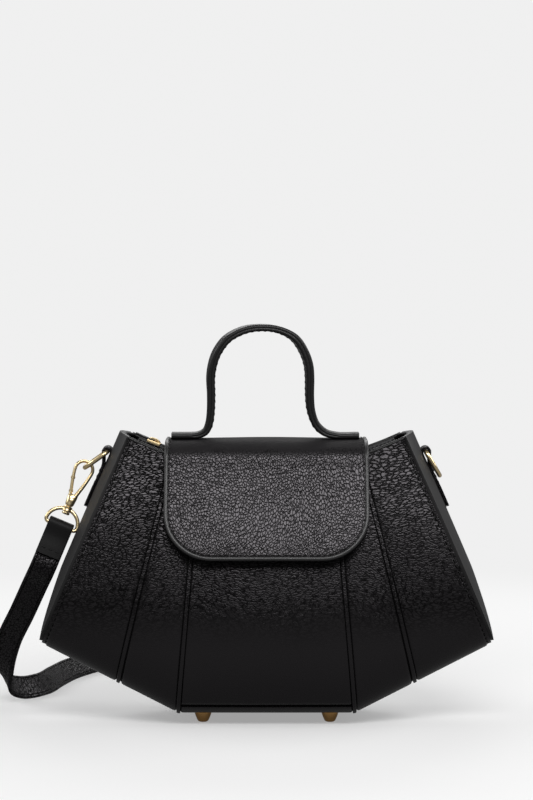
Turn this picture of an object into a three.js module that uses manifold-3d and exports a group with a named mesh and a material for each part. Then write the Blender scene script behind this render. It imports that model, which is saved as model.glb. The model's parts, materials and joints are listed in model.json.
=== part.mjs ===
// Crossbody bag in leather: a flared body on four feet, a flap with a top handle,
// a curved zip mouth, two D-rings and a shoulder strap. Millimetres, +Z up, front faces -Y.
import * as THREE from 'three';
import { mergeVertices } from 'three/addons/utils/BufferGeometryUtils.js';
import Module from 'manifold-3d';

const wasm = await Module();
wasm.setup();

// Clearances
const GAP = 0.3;

// Leather
const WALL = 2.2;
const LINING_THICKNESS = 0.8;

// Body outline seen from the front
const FOOT_HEIGHT = 6.8;
const BASE_WIDTH = 108;
const SHOULDER_WIDTH = 182;
const BOTTOM_WIDTH = 276;
const CORNER_HEIGHT = 49;
const MOUTH_WIDTH = 168;
const MOUTH_CORNER_HEIGHT = 175;
const MOUTH_CENTRE_HEIGHT = 156;
const INNER_SEAM_TOP = 41;
const OUTER_SEAM_TOP = 57;
const COLUMN_BOW = 0.4;
const BOW_POWER = 1.3;

// Body depth
const MOUTH_DEPTH = 44;
const BELLY_DEPTH = 100;
const BELLY_HEIGHT = 46;
const BASE_DEPTH = 52;
const SIDE_DEPTH_RATIO = 0.92;
const CORNER_POWER = 2.4;
const GUSSET_BULGE = 5.5;

// Places along the wrap of a column: 1 at the mouth, 0 under the middle of the base
const BELLY_AT = 0.45;
const FLAT_AT = 0.15;
const BASE_SEAM_AT = 0.25;

// Base
const BOARD_THICKNESS = 2;
const BOARD_MARGIN = 3;
const FOOT_SPACING_X = 78;
const FOOT_SPACING_Y = 40;
const FOOT_TOP_RADIUS = 5;
const FOOT_TIP_RADIUS = 2.6;
const SHANK_RADIUS = 1.5;
const WASHER_THICKNESS = 1;
const WASHER_RADIUS = 3.6;
const ROUND_STEPS = 14;

// Lining
const LINING_DROP = 7;

// Zip
const ZIP_TAPE_HALF = 60;
const ZIP_END_HALF = 80;
const TAPE_DROP = 1.5;
const TAPE_THICKNESS = 1;
const TAPE_WALL_GAP = 1.4;
const TEETH_WIDTH = 2.2;
const TEETH_HEIGHT = 2.2;
const SLIDER_X = 71;
const SLIDER_LENGTH = 9;
const SLIDER_WIDTH = 8;
const SLIDER_PLATE = 1;
const SLIDER_BRIDGE = 1.4;
const PULLER_LENGTH = 12;
const PULLER_WIDTH = 6;
const PULLER_THICKNESS = 1.2;

// Flap
const FLAP_WIDTH = 125;
const FLAP_OUTER = 2;
const FLAP_LINING = 1;
const FLAP_CLEARANCE = 0.9;
const FLAP_STANDOFF = 2;
const FLAP_FRONT_HEIGHT = 102;
const FLAP_CORNER = 29;
const FLAP_TOP_HALF = 9;
const FLAP_HINGE_DROP = 3.7;
const ANCHOR_DROP = 2.4;
const ANCHOR_HEIGHT = 26;
const ANCHOR_THICKNESS = 2;
const MAGNET_RADIUS = 7;
const MAGNET_THICKNESS = 1;
const MAGNET_ABOVE_EDGE = 14;
const FLAP_LINING_INSET = 1;
const FLAP_FRONT_STOPS = 4;

// Handle
const HANDLE_WIDTH = 16;
const HANDLE_THICKNESS = 4.6;
const HANDLE_RISE = 65.5;

// Tabs and D-rings
const TAB_WIDTH = 13.5;
const TAB_LEATHER = 1.8;
const TAB_LENGTH = 36;
const TAB_NECK = 9;
const TAB_TOP_AT = 0.912;
const RING_WIRE = 2.8;
const RING_INNER_WIDTH = 15;
const RING_LENGTH = 17.3;
const RING_CORNER = 2.2;
const RING_LEFT_ANGLE = 31;
const RING_RIGHT_ANGLE = 7;

// Strap fittings, measured along the hook from the ring it holds
const HOOK_LEAN = 22.5;
const HOOK_FORWARD = 12;
const HOOK_THICKNESS = 4;
const HOOK_WIRE = 2.6;
const HOOK_INNER_RADIUS = 4.2;
const HOOK_PLAY = 1.2;
const HOOK_NOSE_ANGLE = 164;
const HOOK_SIDE_ANGLE = 375;
const HOOK_LOOP_LENGTH = 18;
const HOOK_BASE_HALF = 3.1;
const HOOK_BASE_LENGTH = 6.4;
const POST_RADIUS = 1.4;
const POST_HEAD_RADIUS = 2.5;
const POST_HEAD_LENGTH = 1.4;
const COLLAR_RADIUS = 2.9;
const COLLAR_LENGTH = 3.4;
const EYE_WIRE = 2.4;
const EYE_HALF_WIDTH = 10.1;
const EYE_LENGTH = 11.3;
const EYE_CORNER = 2;

// Strap
const STRAP_WIDTH = 16;
const STRAP_THICKNESS = 2.4;
const STRAP_END_LENGTH = 20;
const COIL_X = -5;
const COIL_Y = 120;
const COIL_RADIUS = 30;
const COIL_PITCH = 13;
const COIL_FLOOR = 1;
const COIL_TURN_IN = 360;
const COIL_TURN_OUT = 465;
const COIL_START = 45;
const COIL_STEP = 15;
const COIL_LEAST_GAP = 0.4;
const TIE_WIDTH = 7;
const TIE_THICKNESS = 0.5;
const TIE_ANGLE = 120;

// Colours
const LEATHER = 0x17171a;
const SMOOTH_LEATHER = 0x1d1d20;
const CLOTH = 0x232326;
const GOLD = 0xb98a3e;
const DARK_STEEL = 0x55565a;

const root = new THREE.Group();
root.name = 'crossbody_bag';

const Y_AXIS = new THREE.Vector3(0, 1, 0);
const Z_AXIS = new THREE.Vector3(0, 0, 1);
const rad = THREE.MathUtils.degToRad;
const point = (x, y, z) => new THREE.Vector3(x, y, z);
const flat = (x, y) => new THREE.Vector2(x, y);

// Shared form helpers
function signedVolume(geometry) {
  const p = geometry.attributes.position;
  const index = geometry.index.array;
  const a = new THREE.Vector3();
  const b = new THREE.Vector3();
  const c = new THREE.Vector3();
  let volume = 0;
  for (let i = 0; i < index.length; i += 3) {
    a.fromBufferAttribute(p, index[i]);
    b.fromBufferAttribute(p, index[i + 1]);
    c.fromBufferAttribute(p, index[i + 2]);
    volume += a.dot(b.cross(c)) / 6;
  }
  return volume;
}

// Welds the corners of a form and turns its faces outward.
function closed(geometry) {
  geometry.deleteAttribute('normal');
  geometry.deleteAttribute('uv');
  const welded = mergeVertices(geometry, 1e-4);
  if (signedVolume(welded) < 0) {
    const index = welded.index.array;
    for (let i = 0; i < index.length; i += 3) {
      const swap = index[i];
      index[i] = index[i + 1];
      index[i + 1] = swap;
    }
  }
  return welded;
}

function addPart(name, geometry, look, parent = root) {
  const material = new THREE.MeshStandardMaterial(look);
  const mesh = new THREE.Mesh(closed(geometry), material);
  mesh.geometry.computeVertexNormals();
  mesh.name = name;
  parent.add(mesh);
}

const leather = { color: LEATHER, roughness: 0.55, metalness: 0 };
const smoothLeather = { color: SMOOTH_LEATHER, roughness: 0.45, metalness: 0 };
const cloth = { color: CLOTH, roughness: 0.85, metalness: 0 };
const gold = { color: GOLD, roughness: 0.25, metalness: 1 };
const steel = { color: DARK_STEEL, roughness: 0.4, metalness: 1 };

function toManifold(geometry) {
  const welded = closed(geometry);
  return new wasm.Manifold(new wasm.Mesh({
    numProp: 3,
    vertProperties: new Float32Array(welded.attributes.position.array),
    triVerts: new Uint32Array(welded.index.array),
  }));
}

function fromManifold(solid) {
  const mesh = solid.getMesh();
  const geometry = new THREE.BufferGeometry();
  geometry.setAttribute('position', new THREE.BufferAttribute(new Float32Array(mesh.vertProperties), 3));
  geometry.setIndex(Array.from(mesh.triVerts));
  return geometry;
}

function subtract(geometry, cutters) {
  let solid = toManifold(geometry);
  for (const cutter of cutters) {
    solid = solid.subtract(toManifold(cutter));
  }
  return fromManifold(solid);
}

function unite(geometries) {
  let solid = toManifold(geometries[0]);
  for (const other of geometries.slice(1)) {
    solid = solid.add(toManifold(other));
  }
  return fromManifold(solid);
}

// Triangles over a ring of points, wound like the ring.
function capTriangles(ring) {
  const normal = new THREE.Vector3();
  ring.forEach((p, i) => {
    const q = ring[(i + 1) % ring.length];
    normal.add(new THREE.Vector3().crossVectors(p, q));
  });
  normal.normalize();
  const right = Math.abs(normal.x) < 0.8 ? point(1, 0, 0) : point(0, 1, 0);
  right.addScaledVector(normal, -right.dot(normal)).normalize();
  const up = new THREE.Vector3().crossVectors(normal, right);
  const contour = ring.map((p) => flat(p.dot(right), p.dot(up)));
  return THREE.ShapeUtils.triangulateShape(contour, []);
}

// Closed solid through a row of rings with the same number of points.
function loft(rings) {
  const count = rings[0].length;
  const index = [];
  for (let r = 0; r < rings.length - 1; r += 1) {
    for (let k = 0; k < count; k += 1) {
      const a = r * count + k;
      const b = r * count + (k + 1) % count;
      index.push(a, b, a + count);
      index.push(b, b + count, a + count);
    }
  }
  const end = (rings.length - 1) * count;
  for (const [a, b, c] of capTriangles(rings[0])) {
    index.push(a, c, b);
  }
  for (const [a, b, c] of capTriangles(rings[rings.length - 1])) {
    index.push(end + a, end + b, end + c);
  }
  const geometry = new THREE.BufferGeometry();
  const numbers = rings.flat().flatMap((p) => [p.x, p.y, p.z]);
  geometry.setAttribute('position', new THREE.Float32BufferAttribute(numbers, 3));
  geometry.setIndex(index);
  return geometry;
}

// Closed slab between two grids of points; each row becomes a ring.
function slab(outerRows, innerRows) {
  return loft(outerRows.map((row, i) => row.concat([...innerRows[i]].reverse())));
}

// Flat outline pushed out along the third axis of a frame, half to each side.
function plate(outline, thickness, holes = []) {
  const shape = new THREE.Shape(outline);
  for (const hole of holes) {
    shape.holes.push(new THREE.Path(hole));
  }
  const geometry = new THREE.ExtrudeGeometry(shape, { depth: thickness, bevelEnabled: false });
  geometry.translate(0, 0, -thickness / 2);
  return geometry;
}

function placed(geometry, xDir, yDir, zDir, origin) {
  const matrix = new THREE.Matrix4().makeBasis(xDir, yDir, zDir);
  matrix.setPosition(origin);
  geometry.applyMatrix4(matrix);
  return geometry;
}

function arcPoints(cx, cy, radius, fromDeg, toDeg, steps) {
  const points = [];
  for (let i = 0; i <= steps; i += 1) {
    const angle = rad(fromDeg + (toDeg - fromDeg) * i / steps);
    points.push(flat(cx + radius * Math.cos(angle), cy + radius * Math.sin(angle)));
  }
  return points;
}

// Upright round piece from a half profile given as [radius, height] pairs.
function turned(profile, x, y) {
  const geometry = new THREE.LatheGeometry(profile.map(([r, z]) => flat(r, z)), ROUND_STEPS);
  geometry.rotateX(Math.PI / 2);
  geometry.translate(x, y, 0);
  return geometry;
}

function rod(radius, length, xDir, yDir, zDir, origin) {
  const geometry = new THREE.CylinderGeometry(radius, radius, length, ROUND_STEPS);
  return placed(geometry, xDir, yDir, zDir, origin);
}

function between(value, places, values) {
  let i = 1;
  while (i < places.length - 1 && value > places[i]) {
    i += 1;
  }
  const t = (value - places[i - 1]) / (places[i] - places[i - 1]);
  return values[i - 1] + (values[i] - values[i - 1]) * t;
}

// Body surface: u runs across the bag, v wraps from the front mouth under the base to the back mouth
const MOUTH_RISE = MOUTH_CORNER_HEIGHT - MOUTH_CENTRE_HEIGHT;
const MOUTH_RADIUS = ((MOUTH_WIDTH / 2) ** 2 + MOUTH_RISE ** 2) / (2 * MOUTH_RISE);
const MOUTH_APEX = MOUTH_CENTRE_HEIGHT + MOUTH_RADIUS;
const BOTTOM_SLOPE = (CORNER_HEIGHT - FOOT_HEIGHT) / ((BOTTOM_WIDTH - BASE_WIDTH) / 2);
const SEAM_BOTTOMS = [0, BASE_WIDTH / 2, SHOULDER_WIDTH / 2, BOTTOM_WIDTH / 2];
const SEAM_TOPS = [0, INNER_SEAM_TOP, OUTER_SEAM_TOP, MOUTH_WIDTH / 2];
const INNER_SEAM = BASE_WIDTH / BOTTOM_WIDTH;
const OUTER_SEAM = SHOULDER_WIDTH / BOTTOM_WIDTH;

const mouthHeight = (x) => MOUTH_APEX - Math.sqrt(MOUTH_RADIUS ** 2 - x ** 2);

function columnAt(u) {
  const bottomX = Math.abs(u) * BOTTOM_WIDTH / 2;
  const topX = between(bottomX, SEAM_BOTTOMS, SEAM_TOPS);
  const outside = Math.max(0, bottomX - BASE_WIDTH / 2);
  const reach = Math.min(1, outside / ((SHOULDER_WIDTH - BASE_WIDTH) / 2));
  return {
    side: Math.sign(u) || 1,
    bottomX,
    topX,
    topZ: mouthHeight(topX),
    bottomZ: FOOT_HEIGHT + outside * BOTTOM_SLOPE,
    bow: COLUMN_BOW * reach,
    depth: 1 - (1 - SIDE_DEPTH_RATIO) * u * u,
  };
}

// Height above the bottom and half depth at a place on the wrap, for a column of this length.
function profileAt(place, length) {
  const mouth = MOUTH_DEPTH / 2;
  const belly = BELLY_DEPTH / 2;
  const base = BASE_DEPTH / 2;
  if (place >= BELLY_AT) {
    const w = (place - BELLY_AT) / (1 - BELLY_AT);
    const y = mouth + (belly - mouth) * Math.sin((1 - w) * Math.PI / 2);
    return { h: BELLY_HEIGHT + (length - BELLY_HEIGHT) * w, y };
  }
  if (place >= FLAT_AT) {
    const angle = (BELLY_AT - place) / (BELLY_AT - FLAT_AT) * Math.PI / 2;
    const y = base + (belly - base) * Math.max(0, Math.cos(angle)) ** (2 / CORNER_POWER);
    return { h: BELLY_HEIGHT * (1 - Math.sin(angle) ** (2 / CORNER_POWER)), y };
  }
  return { h: 0, y: base * place / FLAT_AT };
}

function onColumn(column, h, y) {
  const length = columnLength(column);
  const t = 1 - h / length;
  const bow = column.bow * Math.sin(Math.PI * Math.max(0, t) ** BOW_POWER);
  const x = column.topX + (column.bottomX - column.topX) * t + bow;
  const z = column.topZ + (column.bottomZ - column.topZ) * t;
  return point(column.side * x, y * column.depth, z);
}

function columnLength(column) {
  return Math.hypot(column.bottomX - column.topX, column.topZ - column.bottomZ);
}

function bodyPoint(u, v) {
  const column = columnAt(u);
  const { h, y } = profileAt(Math.abs(v), columnLength(column));
  return onColumn(column, h, Math.sign(v) * y);
}

function bodyNormal(u, v) {
  const du = 0.02;
  const dv = 0.01;
  const across = bodyPoint(u + du, v).sub(bodyPoint(u - du, v));
  const along = bodyPoint(u, v + dv).sub(bodyPoint(u, v - dv));
  return along.cross(across).normalize();
}

// Outward offset of the body surface.
const bodyOffset = (u, v, offset) => bodyPoint(u, v).addScaledVector(bodyNormal(u, v), offset);

// Half depth of the wall at a point of the front view.
function wallDepth(x, z) {
  let low = 0;
  let high = 1;
  let depth = 0;
  for (let i = 0; i < 30; i += 1) {
    const u = (low + high) / 2;
    const column = columnAt(u);
    const t = (column.topZ - z) / (column.topZ - column.bottomZ);
    const length = columnLength(column);
    const h = length * (1 - t);
    const w = Math.min(1, Math.max(0, (h - BELLY_HEIGHT) / (length - BELLY_HEIGHT)));
    const here = onColumn(column, h, 0);
    depth = profileAt(BELLY_AT + w * (1 - BELLY_AT), length).y * column.depth;
    if (Math.abs(here.x) < x) {
      low = u;
    } else {
      high = u;
    }
  }
  return depth;
}

function deepestWall(halfWidth, z) {
  return Math.max(...[0, 0.25, 0.5, 0.75, 1].map((share) => wallDepth(halfWidth * share, z)));
}

function steps(from, to, count) {
  return Array.from({ length: count + 1 }, (unused, i) => from + (to - from) * i / count);
}

// Places along the wrap that every panel shares, so that neighbours keep the same facets.
const WRAP = [
  ...steps(1, BELLY_AT, 7),
  ...steps(BELLY_AT, BASE_SEAM_AT, 4).slice(1),
  ...steps(BASE_SEAM_AT, FLAT_AT, 2).slice(1),
  FLAT_AT / 2,
];
const FULL_WRAP = [...WRAP.map((v) => -v), 0, ...[...WRAP].reverse()];
const SEAM_SHIFT = GAP / MOUTH_WIDTH;
const WRAP_SHIFT = 0.0025;

function panel(uFrom, uTo, uCount, wrap) {
  const us = steps(uFrom + SEAM_SHIFT, uTo - SEAM_SHIFT, uCount);
  const outer = wrap.map((v) => us.map((u) => bodyPoint(u, v)));
  const inner = wrap.map((v) => us.map((u) => bodyOffset(u, v, -WALL)));
  return slab(outer, inner);
}

const frontWrap = WRAP.filter((v) => v > BASE_SEAM_AT).map((v) => -v);
const baseWrap = FULL_WRAP.filter((v) => Math.abs(v) < BASE_SEAM_AT - 1e-6);
const frontEdge = -(BASE_SEAM_AT + WRAP_SHIFT);
const backEdge = BASE_SEAM_AT + WRAP_SHIFT;
const panelBack = [backEdge, ...[...frontWrap].reverse().map((v) => -v)];
const baseLow = -BASE_SEAM_AT + WRAP_SHIFT;
addPart('front_panel', panel(-INNER_SEAM, INNER_SEAM, 6, [...frontWrap, frontEdge]), leather);
addPart('back_panel', panel(-INNER_SEAM, INNER_SEAM, 6, panelBack), leather);
addPart('inner_strip_left', panel(-OUTER_SEAM, -INNER_SEAM, 2, FULL_WRAP), leather);
addPart('inner_strip_right', panel(INNER_SEAM, OUTER_SEAM, 2, FULL_WRAP), leather);
addPart('outer_strip_left', panel(-1, -OUTER_SEAM, 3, FULL_WRAP), leather);
addPart('outer_strip_right', panel(OUTER_SEAM, 1, 3, FULL_WRAP), leather);

// Base panel, board, feet and washers
const footPlaces = [];
for (const x of [-FOOT_SPACING_X / 2, FOOT_SPACING_X / 2]) {
  for (const y of [-FOOT_SPACING_Y / 2, FOOT_SPACING_Y / 2]) {
    footPlaces.push({ x, y });
  }
}
const BOARD_BOTTOM = FOOT_HEIGHT + WALL + GAP;
const WASHER_BOTTOM = BOARD_BOTTOM + BOARD_THICKNESS + GAP;
const SHANK_TOP = WASHER_BOTTOM + WASHER_THICKNESS;
const HOLE_RADIUS = SHANK_RADIUS + GAP;
const shankHoles = () => footPlaces.map(({ x, y }) => turned(
  [[0, 0], [HOLE_RADIUS, 0], [HOLE_RADIUS, SHANK_TOP], [0, SHANK_TOP]], x, y));
const basePanel = panel(-INNER_SEAM, INNER_SEAM, 6, [baseLow, ...baseWrap, -baseLow]);
addPart('base_panel', subtract(basePanel, shankHoles()), leather);

const boardX = BASE_WIDTH / 2 - BOARD_MARGIN;
const boardY = BASE_DEPTH / 2 - BOARD_MARGIN / 2;
const boardOutline = [flat(-boardX, -boardY), flat(boardX, -boardY), flat(boardX, boardY), flat(-boardX, boardY)];
const board = plate(boardOutline, BOARD_THICKNESS);
board.translate(0, 0, BOARD_BOTTOM + BOARD_THICKNESS / 2);
addPart('base_board', subtract(board, shankHoles()), cloth);

footPlaces.forEach(({ x, y }) => {
  const place = `${y < 0 ? 'front' : 'back'}_${x < 0 ? 'left' : 'right'}`;
  const coneTop = FOOT_HEIGHT - GAP;
  const foot = [
    [0, 0],
    [FOOT_TIP_RADIUS, 0],
    [FOOT_TOP_RADIUS, coneTop],
    [SHANK_RADIUS, coneTop],
    [SHANK_RADIUS, SHANK_TOP],
    [0, SHANK_TOP],
  ];
  addPart(`foot_${place}`, turned(foot, x, y), gold);
  const washer = [
    [HOLE_RADIUS, WASHER_BOTTOM],
    [WASHER_RADIUS, WASHER_BOTTOM],
    [WASHER_RADIUS, SHANK_TOP],
    [HOLE_RADIUS, SHANK_TOP],
    [HOLE_RADIUS, WASHER_BOTTOM],
  ];
  addPart(`foot_washer_${place}`, turned(washer, x, y), steel);
});

// Gussets close the two sides inside the ends of the outer strips
const sideEnd = columnAt(1);
const sideSlope = Math.atan2(sideEnd.bottomX - sideEnd.topX, sideEnd.topZ - sideEnd.bottomZ);
const outwardOf = (side) => point(side * Math.cos(sideSlope), 0, Math.sin(sideSlope));
const gussetWrap = WRAP.filter((v) => v >= FLAT_AT);
const ACROSS = steps(-1, 1, 8);

function gussetEdge(side, place) {
  return bodyOffset(side, -place, -(WALL + GAP));
}

function gussetPoint(side, place, across, depth) {
  const edge = gussetEdge(side, place);
  const fade = Math.min(1, (place - FLAT_AT) / (BELLY_AT - FLAT_AT));
  const bulge = GUSSET_BULGE * fade * (1 - across * across);
  const p = point(edge.x, -edge.y * across, edge.z);
  return p.addScaledVector(outwardOf(side), bulge - depth);
}

for (const [name, side] of [['gusset_left', -1], ['gusset_right', 1]]) {
  const outer = gussetWrap.map((place) => ACROSS.map((c) => gussetPoint(side, place, c, 0)));
  const inner = gussetWrap.map((place) => ACROSS.map((c) => gussetPoint(side, place, c, WALL)));
  addPart(name, slab(outer, inner), smoothLeather);
}

// Lining: a thin cup inside the panels
const LINING_FLOOR = SHANK_TOP + GAP - FOOT_HEIGHT;
const LINING_INSET = WALL + 3 * GAP;
const LINING_SIDE = 1 - (WALL + 3 * GAP) / (MOUTH_WIDTH / 2);
const LINING_TOP_AT = 1 - LINING_DROP / (MOUTH_CENTRE_HEIGHT - FOOT_HEIGHT) * (1 - BELLY_AT);

function liningVolume(inset, floor, side, topAt) {
  const half = [topAt, ...WRAP.slice(1).filter((v) => v > FLAT_AT)];
  const wrap = [...half.map((v) => -v), ...[...half].reverse()];
  const us = steps(-side, side, 10);
  return loft(us.map((u) => wrap.map((v) => {
    const column = columnAt(u);
    const { h, y } = profileAt(Math.abs(v), columnLength(column));
    return onColumn(column, Math.max(h, floor), Math.sign(v) * (y - inset / column.depth));
  })));
}

const liningOuter = liningVolume(LINING_INSET, LINING_FLOOR, LINING_SIDE, LINING_TOP_AT);
const liningInner = liningVolume(
  LINING_INSET + LINING_THICKNESS,
  LINING_FLOOR + LINING_THICKNESS,
  LINING_SIDE - 2 * LINING_THICKNESS / MOUTH_WIDTH,
  LINING_TOP_AT + 0.02,
);
addPart('lining', subtract(liningOuter, [liningInner]), cloth);

// Zip: tapes in four halves, fixed ends, slider and puller, all on arcs about one apex
const TAPE_RADIUS = MOUTH_RADIUS + TAPE_DROP;
const TAPE_EDGE = MOUTH_DEPTH / 2 - WALL - TAPE_WALL_GAP;

function onArc(radius, angle, y) {
  return point(radius * Math.sin(angle), y, MOUTH_APEX - radius * Math.cos(angle));
}

function alongArc(section, fromX, toX, count) {
  const from = Math.asin(fromX / TAPE_RADIUS);
  const to = Math.asin(toX / TAPE_RADIUS);
  return loft(steps(from, to, count).map((angle) => section.map((s) => onArc(s.y, angle, s.x))));
}

const tapeTop = TAPE_RADIUS - TAPE_THICKNESS / 2;
const tapeBottom = TAPE_RADIUS + TAPE_THICKNESS / 2;
const teethTop = TAPE_RADIUS - TEETH_HEIGHT / 2;
const teethBottom = TAPE_RADIUS + TEETH_HEIGHT / 2;

function tapeSection(side) {
  return [
    flat(side * TAPE_EDGE, tapeTop),
    flat(side * (TEETH_WIDTH + GAP), tapeTop),
    flat(side * (TEETH_WIDTH + GAP), teethTop),
    flat(side * GAP, teethTop),
    flat(side * GAP, teethBottom),
    flat(side * (TEETH_WIDTH + GAP), teethBottom),
    flat(side * (TEETH_WIDTH + GAP), tapeBottom),
    flat(side * TAPE_EDGE, tapeBottom),
  ];
}

for (const [place, side] of [['front', -1], ['back', 1]]) {
  const section = tapeSection(side);
  addPart(`zip_tape_${place}_left`, alongArc(section, -ZIP_TAPE_HALF, -GAP / 2, 5), cloth);
  addPart(`zip_tape_${place}_right`, alongArc(section, GAP / 2, ZIP_TAPE_HALF, 5), cloth);
}

const endSection = [
  flat(-TAPE_EDGE, tapeTop),
  flat(-TEETH_WIDTH, tapeTop),
  flat(-TEETH_WIDTH, teethTop),
  flat(TEETH_WIDTH, teethTop),
  flat(TEETH_WIDTH, tapeTop),
  flat(TAPE_EDGE, tapeTop),
  flat(TAPE_EDGE, tapeBottom),
  flat(-TAPE_EDGE, tapeBottom),
];
addPart('zip_end_left', alongArc(endSection, -ZIP_END_HALF, -ZIP_TAPE_HALF - GAP, 3), cloth);
addPart('zip_end_right', alongArc(endSection, ZIP_TAPE_HALF + GAP, ZIP_END_HALF, 3), cloth);

const sliderBottom = teethTop - GAP;
const plateTop = sliderBottom - SLIDER_PLATE;
const sliderTop = plateTop - SLIDER_BRIDGE;
const bridgeHalf = SLIDER_WIDTH / 8;
const sliderSection = [
  flat(-SLIDER_WIDTH / 2, sliderBottom),
  flat(-SLIDER_WIDTH / 2, plateTop),
  flat(-bridgeHalf, plateTop),
  flat(-bridgeHalf, sliderTop),
  flat(bridgeHalf, sliderTop),
  flat(bridgeHalf, plateTop),
  flat(SLIDER_WIDTH / 2, plateTop),
  flat(SLIDER_WIDTH / 2, sliderBottom),
];
const sliderFrom = -SLIDER_X - SLIDER_LENGTH / 2;
addPart('zip_slider', alongArc(sliderSection, sliderFrom, sliderFrom + SLIDER_LENGTH, 3), gold);

// The puller straddles the bridge and lies uphill on the slider.
const pullerBottom = plateTop - GAP;
const pullerTop = pullerBottom - PULLER_THICKNESS;
const slotHalf = bridgeHalf + GAP;
const slotEnd = sliderFrom - GAP;
const pullerFrom = -SLIDER_X - PULLER_LENGTH;
const pullerSides = [-PULLER_WIDTH / 2, PULLER_WIDTH / 2];
const pullerSection = (from, to) => [
  flat(from, pullerBottom),
  flat(to, pullerBottom),
  flat(to, pullerTop),
  flat(from, pullerTop),
];
const pullerTag = alongArc(pullerSection(...pullerSides), pullerFrom, slotEnd + GAP / 2, 2);
const pullerArms = pullerSides.map((outerSide) => alongArc(
  pullerSection(...[outerSide, Math.sign(outerSide) * slotHalf].sort((a, b) => a - b)),
  slotEnd, -SLIDER_X, 2));
addPart('zip_puller', unite([pullerTag, ...pullerArms]), leather);

// Flap section from the hinge at the back, over the crest and down the front
const FLAP_THICKNESS = FLAP_OUTER + GAP + FLAP_LINING;
const sliderRise = MOUTH_RADIUS - sliderTop;
const CREST = mouthHeight(FLAP_WIDTH / 2) + sliderRise + FLAP_CLEARANCE + FLAP_THICKNESS;
const HINGE_HEIGHT = MOUTH_CENTRE_HEIGHT - FLAP_HINGE_DROP;
const MAGNET_LIFT = 2 * GAP;
const MAGNET_HEIGHT = FLAP_FRONT_HEIGHT + MAGNET_ABOVE_EDGE;
const magnetRoom = 2 * (MAGNET_LIFT + MAGNET_THICKNESS) + 3 * GAP;
const flapReach = (z) => FLAP_THICKNESS + Math.max(
  deepestWall(FLAP_WIDTH / 2, z) + FLAP_STANDOFF, wallDepth(0, z) + magnetRoom);
const shoulderHeight = mouthHeight(FLAP_WIDTH / 2) - 1;
const flapStart = flapReach(HINGE_HEIGHT);
const shoulderReach = MOUTH_DEPTH / 2 + FLAP_STANDOFF + FLAP_THICKNESS;
const flapCurve = new THREE.CatmullRomCurve3([
  point(0, flapStart, HINGE_HEIGHT + GAP),
  point(0, shoulderReach + 2.2, (HINGE_HEIGHT + shoulderHeight) / 2),
  point(0, shoulderReach - 1, shoulderHeight + 1),
  point(0, FLAP_TOP_HALF + 8, CREST - 0.6),
  point(0, FLAP_TOP_HALF, CREST),
  point(0, -FLAP_TOP_HALF, CREST),
  point(0, -FLAP_TOP_HALF - 8, CREST - 0.9),
  point(0, -shoulderReach + 0.6, shoulderHeight + 0.6),
  ...steps(MOUTH_CENTRE_HEIGHT, FLAP_FRONT_HEIGHT, FLAP_FRONT_STOPS).map((z) => point(0, -flapReach(z), z)),
]);
const flapLength = flapCurve.getLength();
const flapRows = [...steps(0, 1 - FLAP_CORNER / flapLength, 17), ...arcPoints(
  1 - FLAP_CORNER / flapLength, 0, FLAP_CORNER / flapLength, -90, 0, 6).slice(1).map((p) => p.x)];

function flapHalfWidth(share) {
  const past = Math.max(0, share * flapLength - (flapLength - FLAP_CORNER));
  return FLAP_WIDTH / 2 - FLAP_CORNER + Math.sqrt(Math.max(0, FLAP_CORNER ** 2 - past ** 2));
}

function flapPoint(share, across, depth, inset) {
  const centre = flapCurve.getPointAt(share);
  const tangent = flapCurve.getTangentAt(share);
  const p = point((flapHalfWidth(share) - inset) * across, centre.y, centre.z);
  return p.addScaledVector(point(0, tangent.z, -tangent.y), -depth);
}

function flapSheet(from, to, inset) {
  const across = steps(-1, 1, 4);
  const rows = (depth) => flapRows.map((share) => across.map((c) => flapPoint(share, c, depth, inset)));
  return slab(rows(from), rows(to));
}

addPart('flap', flapSheet(0, FLAP_OUTER, 0), leather);
addPart('flap_lining', flapSheet(FLAP_OUTER + GAP, FLAP_THICKNESS, FLAP_LINING_INSET), cloth);

const anchorRows = (offset) => steps(HINGE_HEIGHT - ANCHOR_DROP, HINGE_HEIGHT - ANCHOR_HEIGHT, 4).map((z) => (
  steps(-FLAP_WIDTH / 2, FLAP_WIDTH / 2, 10).map((x) => point(x, wallDepth(Math.abs(x), z) + offset, z))));
const anchorLift = 3 * GAP;
addPart('flap_anchor', slab(anchorRows(anchorLift), anchorRows(anchorLift + ANCHOR_THICKNESS)), leather);

// Magnets: one on the front panel, one under the flap
const wallSlope = Math.atan2(
  wallDepth(0, MAGNET_HEIGHT - MAGNET_RADIUS) - wallDepth(0, MAGNET_HEIGHT + MAGNET_RADIUS), 2 * MAGNET_RADIUS);
const wallOut = point(0, -Math.cos(wallSlope), Math.sin(wallSlope));
const wallFoot = point(0, -wallDepth(0, MAGNET_HEIGHT), MAGNET_HEIGHT);

function magnet(foot, out) {
  const up = point(0, out.z, -out.y);
  const centre = foot.clone().addScaledVector(out, MAGNET_LIFT + MAGNET_THICKNESS / 2);
  return rod(MAGNET_RADIUS, MAGNET_THICKNESS, point(1, 0, 0), out, up, centre);
}

addPart('front_magnet', magnet(wallFoot, wallOut), steel);
const magnetShare = steps(0.5, 1, 100).find((share) => flapCurve.getPointAt(share).z < MAGNET_HEIGHT);
const flapFoot = flapPoint(magnetShare, 0, FLAP_THICKNESS, 0);
const flapIn = flapFoot.clone().sub(flapPoint(magnetShare, 0, 0, 0)).normalize();
addPart('flap_magnet', magnet(flapFoot, flapIn), steel);

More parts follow.
